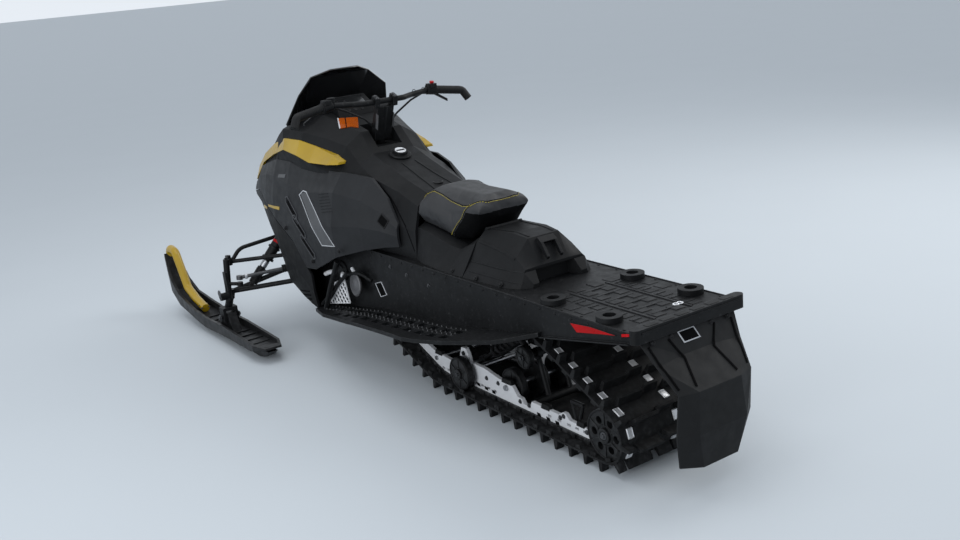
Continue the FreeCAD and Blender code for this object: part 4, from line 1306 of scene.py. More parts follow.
@dataclass
class Controls(Assembly):
    """Grips, levers, switches and clamps, which turn with the bar."""

    body: str = "handlebar"
    grip_start: Point = (0.1429, 0.264, 1.0452)
    grip_end: Point = (0.1290, 0.3625, 1.0305)
    grip_radius: float = 0.0162
    grip_ribs: int = 14
    rib_radius: float = 0.0011
    collar_wall: float = 0.003
    clamp_at: Point = (0.1135, 0.0, 1.040)
    clamp_way: Point = (-0.401, 0.0, 0.916)
    clamp_tall: float = 0.020
    clamp_half: float = 0.040
    clamp_pitch: float = 0.009
    clamp_bolt: float = 0.0045
    stripe: tuple[Point, Point] = ((0.1385, 0.036, 0.9300), (0.1195, 0.036, 0.9900))
    stripe_half: Point = (0.0085, 0.0, 0.0037)
    stripe_thick: float = 0.0012
    block_at: Point = (0.1473, 0.234, 1.0497)
    stop_outline: Outline = (
        (0, 0), (0, 0.006), (0.007, 0.006), (0.008, 0.0095), (0.013, 0.009), (0.014, 0))
    tank_outline: Outline = (
        (0, 0), (0, 0.013), (0.016, 0.014), (0.017, 0.016), (0.021, 0.016), (0.022, 0))
    tie_at: Point = (0.1475, 0.160, 1.0465)
    tie_places: tuple[float, ...] = (0.160, 0.205)
    tie_rise: float = 0.05
    tie_radius: float = 0.0135
    tie_thick: float = 0.0013

    def build(self) -> None:
        """Builds every piece."""
        self.grips()
        self.clamps()
        self.switches()
        self.wiring()

    def grips(self) -> None:
        """Rings each grip with ribs and closes it with a collar."""
        start, end = Vector(self.grip_start), Vector(self.grip_end)
        along = (end - start).normalized()
        ribs = []
        for i in range(self.grip_ribs):
            spot = start.lerp(end, i / (self.grip_ribs - 1))
            ribs.append(ring("rib", spot, along, self.grip_radius, self.rib_radius, 20))
        wide = self.grip_radius + self.collar_wall
        ribs.append(drum("collar", start - along * 0.006, start - along * 0.001, wide, 0.001))
        self.pair(RUBBER, joined("grip_ribs", ribs))

    def clamps(self) -> None:
        """Bolts the bar's clamps and lays the riser's pale stripe."""
        up = Vector(self.clamp_way)
        top = Vector(self.clamp_at) + up * self.clamp_tall
        spots = []
        for y in (-self.clamp_half, self.clamp_half):
            for shift in (-self.clamp_pitch, self.clamp_pitch):
                spots.append((tuple(top + Vector((shift * up.z, y, -shift * up.x))), tuple(up)))
        self.keep(DARK_STEEL, bolts("clamp_bolts", spots, self.clamp_bolt))
        low, high = (Vector(spot) for spot in self.stripe)
        half = Vector(self.stripe_half)
        corners = [low - half, low + half, high + half, high - half]
        stripe = panel("riser_stripe", corners, (0.0, self.stripe_thick, 0.0), edge=0.0003)
        self.pair(PLATE_PLASTIC, stripe)

    def switches(self) -> None:
        """Adds the stop button, the switch rows, the levers' pivots and the brake's tank."""
        x, y, z = self.block_at
        stop = turned("stop_button", self.stop_outline, (x - 0.006, -y - 0.008, z + 0.020), (-0.25, 0.0, 1.0))
        self.keep(RED, stop)
        rows = []
        for i in range(3):
            low = (x - 0.024 + 0.010 * i, y - 0.002, z + 0.0225)
            high = (x - 0.017 + 0.010 * i, y + 0.014, z + 0.0262)
            rows.append(block("row", low, high, 0.0010, 0.85))
        self.keep(RUBBER, joined("switch_rows", rows))
        pivot = bolts("lever_pivots", [((x + 0.015, y + 0.006, z + 0.010), (0, 0, 1))], 0.0045)
        self.pair(STEEL, pivot)
        tank = turned("brake_tank", self.tank_outline, (x + 0.008, y - 0.022, z + 0.008), (0, 0, 1))
        self.keep(BODY_PLASTIC, tank)

    def wiring(self) -> None:
        """Ties the control cables to the bar."""
        x, start, z = self.tie_at
        ties = []
        for y in self.tie_places:
            spot = (x, y, z + (y - start) * self.tie_rise)
            ties.append(ring("tie", spot, (0.15, 1.0, self.tie_rise), self.tie_radius, self.tie_thick, 20))
        self.pair(RUBBER, joined("cable_ties", ties))


@dataclass
class Screen(Assembly):
    """The windshield's rolled edge, its fold lines and its fasteners."""

    top: Point = (0.4225, 0.064, 1.162)
    shoulder: Point = (0.4685, 0.136, 1.138)
    wing: Point = (0.4585, 0.206, 1.072)
    heel: Point = (0.5365, 0.242, 0.956)
    toe: Point = (0.6505, 0.112, 0.952)
    inset: Point = (0.0015, 0.0, -0.0008)
    edge_radius: float = 0.0026
    fold_radius: float = 0.0018
    bolt_spot: Point = (0.5900, 0.150, 0.985)
    bolt_way: Point = (-0.64, -0.58, -0.51)
    bolt_radius: float = 0.0055

    def build(self) -> None:
        """Builds every piece."""
        inset = Vector(self.inset)
        left = [Vector(spot) + inset for spot in (self.heel, self.wing, self.shoulder, self.top)]
        line = left + [Vector((x, -y, z)) for x, y, z in reversed(left)]
        self.keep(SCREEN, tube("screen_edge", line, self.edge_radius, soft=False))
        crease = [Vector(self.shoulder) + inset, Vector(self.toe)]
        self.pair(SCREEN, tube("screen_fold", crease, self.fold_radius, soft=False))
        fastener = bolts("screen_bolts", [(self.bolt_spot, self.bolt_way)], self.bolt_radius)
        self.pair(SLED_BLACK, fastener)


@dataclass
class Tunnel(Assembly):
    """Rivets, deck pads, side reflectors, the bare tag and the edge beads of the tunnel."""

    half: float = 0.208
    top: float = 0.494
    rear: float = -1.4845
    front: float = 0.3400
    bead_front: float = -0.40
    bead_inset: float = 0.002
    bead_radius: float = 0.0034
    ring_places: tuple[float, float] = (-1.3515, -1.0925)
    pads: Outline = ((0.018, 0.060), (0.086, 0.128), (0.140, 0.182))
    pad_count: int = 7
    pad_start: float = 0.048
    pad_pitch: float = 0.060
    pad_long: float = 0.046
    pad_middle: float = 0.022
    pad_clear: float = 0.065
    pad_tall: float = 0.0015
    inner_pad_tall: float = 0.0022
    rivet: Outline = ((0, 0), (0, 0.0052), (0.0008, 0.0050), (0.0022, 0.0032), (0.0027, 0))
    side_rivets: int = 24
    side_start: float = 0.030
    side_pitch: float = 0.076
    side_drop: float = 0.0115
    deck_rivets: int = 12
    deck_start: float = 0.040
    deck_pitch: float = 0.092
    deck_inset: float = 0.014
    deck_clear: float = 0.05
    wedge: Outline = (
        (-1.2254, 0.4700), (-1.3179, 0.4786), (-1.4277, 0.4779), (-1.3697, 0.4681), (-1.2540, 0.4470))
    tail: Outline = ((-1.4520, 0.4800), (-1.4840, 0.4880), (-1.4840, 0.4960), (-1.4520, 0.4890))
    lens_lift: float = 0.0004
    lens_thick: float = 0.0030
    tail_thick: float = 0.0036
    tag: Outline = ((-0.0155, 0.3597), (-0.0647, 0.3744), (-0.0986, 0.3291), (-0.0493, 0.3112))
    tag_lift: float = 0.0003
    tag_thick: float = 0.0008
    rim_lift: float = 0.0012
    bolt_spots: Outline = ((-0.150, 0.452), (-0.270, 0.440), (-0.420, 0.428))

    def build(self) -> None:
        """Builds every piece."""
        self.deck()
        self.rivets()
        self.reflectors()
        self.tag_plate()
        y = self.half - self.bead_inset
        line = [(self.rear + 0.004, y, self.top), (self.bead_front, y, self.top)]
        self.pair(SLED_BLACK, tube("tunnel_bead", line, self.bead_radius, soft=False))

    def from_rings(self, x: float) -> float:
        """Gives the distance along the sled to the nearest accessory ring."""
        return min(abs(x - place) for place in self.ring_places)

    def deck(self) -> None:
        """Lays low pads between the deck's pressed ribs, with room for the accessory rings."""
        blocks = []
        for row, (low, high) in enumerate(self.pads):
            tall = self.pad_tall if row else self.inner_pad_tall
            for i in range(self.pad_count):
                x = self.rear + self.pad_start + self.pad_pitch * i
                if row == 2 and self.from_rings(x + self.pad_middle) < self.pad_clear:
                    continue
                start, end = (x, low, self.top), (x + self.pad_long, high, self.top + tall)
                blocks.append(block("pad", start, end, 0.0012, 0.94))
        self.pair(SLED_BLACK, joined("deck_pads", blocks))

    def rivets(self) -> None:
        """Sets the rows of rivets along the tunnel's sides and deck."""
        rivet = turned("rivet", self.rivet, (0, 0, 0), (0, 0, 1), 10)
        moves = []
        for i in range(self.side_rivets):
            x = self.rear + self.side_start + self.side_pitch * i
            if x < self.front:
                moves.append(facing((x, self.half, self.top - self.side_drop), (0, 1, 0)))
        for i in range(self.deck_rivets):
            x = self.rear + self.deck_start + self.deck_pitch * i
            if self.from_rings(x) > self.deck_clear:
                moves.append(facing((x, self.half - self.deck_inset, self.top), (0, 0, 1)))
        self.pair(SLED_BLACK, repeated("tunnel_rivets", rivet, moves))

    def reflectors(self) -> None:
        """Sets the red side reflectors in their dark frames, and the small ones at the tail."""
        near = self.half + self.lens_lift
        lens = panel("side_reflector", beside(self.wedge, near), (0, self.lens_thick, 0), 0.0008)
        self.pair(RED, lens)
        rim = beside(self.wedge, self.half + self.rim_lift)
        self.pair(RUBBER, tube("side_reflector_frame", rim, 0.0018, soft=False, closed=True))
        small = panel("tail_reflector", beside(self.tail, near), (0, self.tail_thick, 0), 0.0008)
        self.pair(RED, small)

    def tag_plate(self) -> None:
        """Sets the bare tag on the left side, with its pale border, and the bolts behind it."""
        corners = beside(self.tag, self.half + self.tag_lift)
        self.keep(DARK_PLATE_AND_PAINTED_SHADE, panel("tunnel_tag", corners, (0, self.tag_thick, 0), 0.0003))
        rim = beside(self.tag, self.half + self.rim_lift)
        self.keep(PALE_TRIM, tube("tunnel_tag_border", rim, 0.0022, soft=False, closed=True))
        spots = [((x, self.half, z), (0, 1, 0)) for x, z in self.bolt_spots]
        self.pair(DARK_STEEL, bolts("tunnel_bolts", spots, 0.0055))


@dataclass
class StorageCase(Assembly):
    """Moulded lines, the gasket in the seam and the bolts of the case."""

    seam_height: float = 0.5455
    seam: Outline = (
        (-0.900, 0.112), (-0.8930, 0.1290), (-0.8495, 0.1415), (-0.7795, 0.1475), (-0.6350, 0.1530))
    seam_radius: float = 0.0018
    foot: Outline = ((-0.905, 0.512), (-0.840, 0.516), (-0.640, 0.518))
    foot_band: Pair = (0.004, 0.0014)
    bolt_spots: tuple[tuple[Point, Point], ...] = (
        ((-0.560, 0.1885, 0.506), (0, 0.76, 0.65)),
        ((-0.700, 0.1860, 0.504), (0, 0.78, 0.63)),
        ((-0.830, 0.1740, 0.504), (0, 0.83, 0.55)),
    )
    bolt_radius: float = 0.006

    def build(self) -> None:
        """Builds the fixed pieces, then those of the lid."""
        seam = [(x, y, self.seam_height) for x, y in self.seam]
        self.pair(RUBBER, tube("case_gasket", seam, self.seam_radius, soft=False))
        foot = ribbon("case_foot_line", beside(self.foot), self.foot_band, node("storage_case"), Side.LEFT)
        self.pair(BODY_PLASTIC, foot)
        self.pair(SLED_BLACK, bolts("case_bolts", self.bolt_spots, self.bolt_radius))
        Lid().build()


@dataclass
class Lid(Assembly):
    """What swings with the case's lid: its creases, its roof ribs and its latch."""

    body: str = "case_lid"
    above: float = 0.80
    crease: Outline = ((-0.640, 0.608), (-0.720, 0.600), (-0.790, 0.592), (-0.846, 0.580))
    crease_band: Pair = (0.006, 0.0018)
    roof: Outline = ((-0.650, 0.062), (-0.770, 0.052), (-0.838, 0.050))
    roof_band: Pair = (0.007, 0.0018)
    latch: Point = (-0.8790, 0.0, 0.5870)
    latch_half: float = 0.018
    latch_top_half: float = 0.016
    latch_push: Point = (-0.0050, 0.0, 0.0027)
    pin_half: float = 0.022
    pin_radius: float = 0.0035

    def build(self) -> None:
        """Builds every piece."""
        lid = node("case_lid")
        side = ribbon("lid_crease", beside(self.crease), self.crease_band, lid, Side.LEFT)
        self.pair(BODY_PLASTIC, side)
        roof = [(x, y, self.above) for x, y in self.roof]
        rib = ribbon("lid_roof_rib", roof, self.roof_band, lid, Side.TOP)
        self.pair(BODY_PLASTIC, rib)
        self.latch_trim()

    def latch_trim(self) -> None:
        """Adds the latch's lever and its pin in the lid's grip."""
        x, _, z = self.latch
        low, high = self.latch_half, self.latch_top_half
        corners = [(x + 0.004, -low, z - 0.012), (x + 0.004, low, z - 0.012),
                   (x + 0.019, high, z + 0.016), (x + 0.019, -high, z + 0.016)]
        self.keep(SLED_BLACK, panel("latch_lever", corners, self.latch_push, 0.0012))
        ends = [(x + 0.020, y, z + 0.019) for y in (-self.pin_half, self.pin_half)]
        self.keep(STEEL, drum("latch_pin", *ends, self.pin_radius))


@dataclass
class Rear(Assembly):
    """The snow flap's folds (near-black strips of painted shadow in its creases), bolts and bare plate, and
    the bumper's rib, pads and clip.
    """

    behind: float = -1.60
    far_behind: float = -1.70
    plate: Outline = ((0.052, 0.4640), (-0.010, 0.4640), (-0.022, 0.4330), (0.040, 0.4330))
    border: Pair = (0.0032, 0.0020)
    folds: tuple[Outline, ...] = (
        ((0.082, 0.335), (0.060, 0.398), (0.092, 0.455)),
        ((0.138, 0.336), (0.152, 0.392), (0.166, 0.450)),
    )
    fold_band: Pair = (0.006, 0.0024)
    bolt_place: Spot = (-1.5105, 0.4600)
    bolt_way: Point = (-0.92, 0.0, 0.39)
    bolt_rows: tuple[float, ...] = (0.080, 0.150)
    rib_half: float = 0.196
    rib_height: float = 0.5000
    rib_band: Pair = (0.006, 0.0020)
    pad_count: int = 6
    pad_pitch: float = 0.060
    clip: Point = (-1.3999, -0.0619, 0.4968)
    clip_shift: float = 0.0085
    clip_radius: float = 0.0085
    clip_wire: float = 0.0022

    def build(self) -> None:
        """Builds every piece."""
        flap = node("snow_flap")
        corners = [(self.behind, y, z) for y, z in self.plate]
        self.keep(DARK_PLATE_AND_PAINTED_SHADE, laid("flap_plate", corners, flap, Side.REAR, thick=0.0010, cuts=(6, 4)))
        border = ribbon("flap_plate_border", corners, self.border, flap, Side.REAR, closed=True)
        self.keep(PALE_TRIM, border)
        # The folds are near-black strips: painted shadow in the flap's creases.
        ribs = []
        for fold in self.folds:
            line = [(self.far_behind, y, z) for y, z in fold]
            ribs.append(ribbon("fold", line, self.fold_band, flap, Side.REAR))
        self.pair(DARK_PLATE_AND_PAINTED_SHADE, joined("flap_folds", ribs))
        x, z = self.bolt_place
        spots = [((x, y, z), self.bolt_way) for y in self.bolt_rows]
        self.pair(SLED_BLACK, bolts("flap_bolts", spots, 0.006))
        self.bumper()

    def bumper(self) -> None:
        """Adds the bumper's long rib, its top pads, and the bright clip on the deck before it."""
        line = [(self.behind, y, self.rib_height) for y in (self.rib_half, -self.rib_half)]
        rib = ribbon("bumper_rib", line, self.rib_band, node("rear_bumper"), Side.REAR)
        self.keep(BODY_PLASTIC, rib)
        pads = []
        for i in range(self.pad_count):
            start, end = -0.178 + self.pad_pitch * i, -0.132 + self.pad_pitch * i
            pads.append(block("pad", (-1.5130, start, 0.5115), (-1.4920, end, 0.5135), 0.0009, 0.92))
        self.keep(RUBBER, joined("bumper_pads", pads))
        x, y, z = self.clip
        rings = []
        for shift in (-self.clip_shift, self.clip_shift):
            rings.append(ring("ring", (x, y + shift, z), (0, 0, 1), self.clip_radius, self.clip_wire, 24))
        self.keep(CLIP, joined("deck_clip", rings))


@dataclass
class Track(Assembly):
    """The guide clips on the belt and the guide nubs on its inner face."""

    wheels: tuple[tuple[float, float, float], ...] = (
        (-1.3095, 0.121, 0.082), (-0.3995, 0.299, 0.260), (0.2575, 0.362, 0.076), (-0.8295, 0.378, 0.060))
    belt: float = 0.007
    links: int = 52
    clip_rows: tuple[float, ...] = (0.1510, -0.0361, -0.1510)
    clip: tuple[Point, Point] = ((-0.017, -0.0120, -0.0008), (0.017, 0.0120, 0.0034))
    clip_rim: float = 0.0018
    clip_dip: float = 0.0012
    nub_rows: tuple[float, ...] = (0.1445, 0.1835)
    nub: tuple[Point, Point] = ((-0.012, -0.0035, -0.0130), (0.012, 0.0035, 0.0005))

    def build(self) -> None:
        """Builds every piece."""
        clip = block("clip", *self.clip, 0.0010, 0.88)
        with shaping(clip):
            pick(clip, lambda face: face.normal.z > 0.95)
            bpy.ops.mesh.inset(thickness=self.clip_rim)
            bpy.ops.transform.translate(value=(0.0, 0.0, -self.clip_dip))
        settle(clip, "clip")
        places = self.places(0.5)
        moves = [Matrix.Translation((0, y, 0)) @ place for place in places for y in self.clip_rows]
        self.keep(CLIP, repeated("track_clips", clip, moves))
        nub = block("nub", *self.nub, 0.0010)
        inward = Matrix.Translation((0, 0, -self.belt))
        rows = [row * side for row in self.nub_rows for side in (1, -1)]
        moves = [Matrix.Translation((0, y, 0)) @ place @ inward for place in places for y in rows]
        self.keep(TRACK, repeated("track_nubs", nub, moves))

    def places(self, shift: float) -> list[Matrix]:
        """Walks round the belt's outer face, link by link.

        Args:
            shift: the start, in links.

        Returns:
            For each link a frame with X along the belt and Z out of it.
        """
        rounds = [(Vector((x, 0.0, z)), r + self.belt) for x, z, r in self.wheels]
        angles = []
        for (centre, radius), (later, wider) in zip(rounds, rounds[1:] + rounds[:1]):
            gap = later - centre
            angles.append(math.atan2(gap.z, gap.x) - math.asin((wider - radius) / gap.length))
        legs = []
        for i, (centre, radius) in enumerate(rounds):
            before, radius_before = rounds[i - 1]
            side = Vector((math.sin(angles[i - 1]), 0.0, -math.cos(angles[i - 1])))
            start, end = before + side * radius_before, centre + side * radius
            turn = (angles[i] - angles[i - 1]) % math.tau
            legs.append(((end - start).length, start, angles[i - 1], centre, radius, turn))
        whole = sum(leg[0] + leg[4] * leg[5] for leg in legs)
        return [self.place_at(legs, (i + shift) * whole / self.links) for i in range(self.links)]

    @staticmethod
    def place_at(legs: list[tuple], at: float) -> Matrix:
        """Finds the frame at a length along the belt.

        Args:
            legs: each straight run and the arc after it.
            at: the length.

        Returns:
            The frame.
        """
        for run, start, angle, centre, radius, turn in legs:
            if at <= run:
                spot = start + Vector((math.cos(angle), 0.0, math.sin(angle))) * at
                break
            at -= run
            if at <= radius * turn:
                angle += at / radius
                spot = centre + Vector((math.sin(angle), 0.0, -math.cos(angle))) * radius
                break
            at -= radius * turn
        along = Vector((math.cos(angle), 0.0, math.sin(angle)))
        out = Vector((math.sin(angle), 0.0, -math.cos(angle)))
        frame_axes = Matrix((along, out.cross(along), out)).transposed()
        return Matrix.LocRotScale(spot, frame_axes.to_quaternion(), None)


@dataclass
class Skid(Assembly):
    """Wheel rims and hubs, bolts and blocks of the rails, and the shocks' springs."""

    wheels: tuple[tuple[float, float, float, float], ...] = (
        (-1.3095, 0.121, 0.176, 0.082), (-0.5095, 0.1013, 0.174, 0.062), (-0.7445, 0.1013, 0.108, 0.062),
        (-0.8295, 0.378, 0.166, 0.060), (-0.8275, 0.228, 0.112, 0.040))
    spokes: int = 6
    rim_inset: float = 0.0045
    rim_wire: float = 0.0032
    inner_wire: float = 0.0022
    rail_out: float = 0.132
    rail_bolts: Outline = (
        (-0.2945, 0.097), (-0.4195, 0.084), (-0.4895, 0.165), (-0.6250, 0.104), (-0.6950, 0.104),
        (-0.8200, 0.072), (-0.8700, 0.072), (-1.0380, 0.080), (-1.0560, 0.090), (-1.1700, 0.070),
        (-1.2500, 0.076), (-1.2700, 0.128), (-1.3300, 0.140), (-0.1100, 0.115), (-0.1650, 0.104))
    rail_slots: Outline = (
        (-0.5676, 0.0640), (-0.6163, 0.0622), (-0.6612, 0.0608), (-0.9218, 0.0545), (-0.9721, 0.0545),
        (-1.0195, 0.0545))
    slot_half: float = 0.012
    slot_short: float = 0.008
    slot_tall: float = 0.006
    stops: tuple[tuple[float, float, float], ...] = (
        (-0.7480, 0.1205, 0.060), (-0.3100, 0.1170, 0.050), (-0.9600, 0.0880, 0.046),
        (-1.1400, 0.0825, 0.040))
    stop_inner: float = 0.114
    stop_outer: float = 0.136
    strut_foot: Point = (-1.1000, 0.108, 0.052)
    strut_out: float = 0.106
    strut_top: float = 0.140
    strut_heads: Spot = (-1.128, -1.072)
    strut_bar: Spot = (-1.130, -1.070)
    strut_radius: float = 0.006
    strut_bar_radius: float = 0.007
    shocks: tuple[tuple[Point, Point], ...] = (
        ((-0.2945, 0.0, 0.097), (-0.1795, 0.0, 0.3544)), ((-0.4195, 0.0, 0.084), (-0.7395, 0.0, 0.2862)))
    spring_foot: float = 0.102
    spring_head: float = 0.036
    spring_radius: float = 0.0265
    spring_wire: float = 0.0042
    spring_turns: int = 7

    def build(self) -> None:
        """Builds every piece."""
        self.wheel_trim()
        self.rail_trim()
        self.strut_trim()
        self.shock_trim()

    def wheel_trim(self) -> None:
        """Adds each wheel's tyre rings, spokes, hub cap and nut."""
        rims, spokes, caps, nuts = [], [], [], []
        out = Vector((0, 1, 0))
        for x, z, y, r in self.wheels:
            spot = Vector((x, y, z))
            rims.append(ring("rim", spot, out, r - self.rim_inset, self.rim_wire, 36))
            rims.append(ring("rim", spot, out, r * 0.40, self.inner_wire, 24))
            spoke = block("spoke", (r * 0.38, -0.0024, -0.001), (r - 0.006, 0.0024, 0.0030), 0.0007, 0.94)
            stand = facing(spot, out)
            turns = [(i + 0.5) * math.tau / self.spokes for i in range(self.spokes)]
            moves = [stand @ Matrix.Rotation(turn, 4, "Z") for turn in turns]
            spokes.append(repeated("spokes", spoke, moves))
            caps.append(drum("cap", spot - out * 0.001, spot + out * 0.009, r * 0.30, 0.0015, 0.003, 0.3))
            nuts.append(bolts("nut", [(spot + out * 0.006, out)], 0.0085))
        self.pair(RUBBER, joined("wheel_rims", rims))
        self.pair(WHEEL, joined("wheel_spokes", spokes))
        self.pair(WHEEL, joined("wheel_caps", caps))
        self.pair(DARK_STEEL, joined("wheel_nuts", nuts))

    def rail_trim(self) -> None:
        """Bolts the rails, marks their long slots with near-black plates of painted shade, and sets the black
        blocks on them.
        """
        spots = [((x, self.rail_out, z), (0, 1, 0)) for x, z in self.rail_bolts]
        self.pair(DARK_STEEL, bolts("rail_bolts", spots, 0.0058))
        # The slots are near-black plates: painted shade in the holes.
        slots = []
        for x, z in self.rail_slots:
            low, high = z - self.slot_tall, z + self.slot_tall
            corners = [(x - self.slot_half, low), (x + self.slot_short, low),
                       (x + self.slot_half, high), (x - self.slot_short, high)]
            slots.append(panel("slot", beside(corners, self.rail_out), (0, 0.0006, 0), 0.0002))
        self.pair(DARK_PLATE_AND_PAINTED_SHADE, joined("rail_slots", slots))
        blocks = []
        for x, z, size in self.stops:
            low, high = (x - size / 2, self.stop_inner, z - 0.004), (x + size / 2, self.stop_outer, z + 0.014)
            blocks.append(block("stop", low, high, 0.003, 0.8))
        self.pair(RUBBER, joined("rail_stops", blocks))

    def strut_trim(self) -> None:
        """Stands two struts with a bar across their heads inside each rail."""
        heads = [(x, self.strut_out, self.strut_top) for x in self.strut_heads]
        struts = [tube("strut", [self.strut_foot, head], self.strut_radius, soft=False) for head in heads]
        bar = [(x, self.strut_out, self.strut_top) for x in self.strut_bar]
        struts.append(tube("strut", bar, self.strut_bar_radius, soft=False))
        self.pair(SLED_BLACK, joined("rail_struts", struts))

    def shock_trim(self) -> None:
        """Winds a spring round each shock of the skid."""
        springs = []
        for low, high in self.shocks:
            start, end = Vector(low), Vector(high)
            way = (end - start).normalized()
            reach = (end - start).length - self.spring_head
            springs.append(self.spring(start + way * self.spring_foot, start + way * reach))
        self.keep(SLED_BLACK, joined("skid_springs", springs))

    def spring(self, start: Vector, end: Vector) -> Piece:
        """Winds a coil spring between two points.

        Args:
            start: the middle of its lower end.
            end: the middle of its upper end.

        Returns:
            The spring.
        """
        choose()
        bpy.ops.mesh.primitive_circle_add(vertices=8, radius=self.spring_wire, fill_type="NGON",
                                          location=(self.spring_radius, 0, 0), rotation=(math.pi / 2, 0, 0))
        coil = settle(bpy.context.object, "coil")
        steps = 18 * self.spring_turns
        modify(coil, "SCREW", angle=math.tau * self.spring_turns, screw_offset=(end - start).length,
               steps=steps, render_steps=steps)
        close(coil)
        coil.matrix_world = facing(start, end - start)
        return settle(coil, "spring")


@dataclass
class FrontEnd(Assembly):
    """The arms' boots, the shocks' bands, cups and shafts, and the tie rods' nuts and bellows."""

    king_top: Point = (0.8805, 0.466, 0.350)
    king_low: Point = (0.8805, 0.478, 0.215)
    boot_lift: float = 0.0115
    boot: Outline = (
        (0, 0.012), (0, 0.0195), (0.003, 0.0170), (0.006, 0.0185), (0.009, 0.0155), (0.010, 0.010))
    shock_foot: Point = (0.8395, 0.394, 0.2291)
    shock_head: Point = (0.8125, 0.225, 0.428)
    band: Outline = ((0, 0.0225), (0, 0.0238), (0.012, 0.0238), (0.012, 0.0225))
    band_place: float = 0.226
    cup: Outline = (
        (0, 0.015), (0, 0.0275), (0.005, 0.0290), (0.010, 0.0275), (0.012, 0.023), (0.012, 0.015))
    cup_places: tuple[float, ...] = (0.140, 0.196)
    shaft: Outline = ((0, 0.0152), (0, 0.0163), (0.030, 0.0163), (0.030, 0.0152))
    shaft_place: float = 0.102
    rib: Outline = ((0, 0.0195), (0, 0.0215), (0.003, 0.0215), (0.003, 0.0195))
    rib_count: int = 6
    rib_start: float = 0.026
    rib_pitch: float = 0.011
    shock_bolt: Point = (0.020, -0.002, 0.004)
    shock_bolt_way: Point = (0.93, -0.05, 0.30)
    rod_outer: Point = (0.8025, 0.454, 0.290)
    rod_inner: Point = (0.7105, 0.200, 0.304)
    nut: Spot = (0.024, 0.036)
    nut_radius: float = 0.0115
    fold: Outline = ((0, 0.009), (0, 0.016), (0.004, 0.019), (0.008, 0.016), (0.008, 0.009))
    fold_count: int = 5
    fold_start: float = 0.190
    fold_pitch: float = 0.008

    def build(self) -> None:
        """Builds the fixed pieces, then those of each ski."""
        self.shocks()
        self.joints()
        for side in (1.0, -1.0):
            SkiTrim(body="ski_left" if side > 0 else "ski_right", side=side).build()

    def shocks(self) -> None:
        """Adds the shocks' red band, cups, chromed shaft, ribs and bolt."""
        foot, head = Vector(self.shock_foot), Vector(self.shock_head)
        way = (head - foot).normalized()
        self.pair(RED, turned("shock_band", self.band, foot + way * self.band_place, way))
        cups = [turned("cup", self.cup, foot + way * at, way) for at in self.cup_places]
        self.pair(SLED_BLACK, joined("shock_cups", cups))
        self.pair(STEEL, turned("shock_shaft", self.shaft, foot + way * self.shaft_place, way))
        ribs = []
        for i in range(self.rib_count):
            ribs.append(turned("rib", self.rib, foot + way * (self.rib_start + self.rib_pitch * i), way))
        self.pair(SLED_BLACK, joined("shock_ribs", ribs))
        spots = [(tuple(foot + Vector(self.shock_bolt)), self.shock_bolt_way)]
        self.pair(DARK_STEEL, bolts("shock_bolts", spots, 0.0065))

    def joints(self) -> None:
        """Puts boots on the arms' outer joints, and a jam nut and a bellows on each tie rod."""
        top, low = Vector(self.king_top), Vector(self.king_low)
        axis = (top - low).normalized()
        boots = [turned("boot", self.boot, top + axis * self.boot_lift, axis),
                 turned("boot", self.boot, low - axis * self.boot_lift, -axis)]
        self.pair(RUBBER, joined("arm_boots", boots))
        start, end = Vector(self.rod_outer), Vector(self.rod_inner)
        way = (end - start).normalized()
        near, far = self.nut
        nut = drum("tie_nuts", start + way * near, start + way * far, self.nut_radius, 0.001, sides=6)
        self.pair(STEEL, nut)
        folds = []
        for i in range(self.fold_count):
            spot = start + way * (self.fold_start + self.fold_pitch * i)
            folds.append(turned("fold", self.fold, spot, way))
        self.pair(RUBBER, joined("tie_bellows", folds))


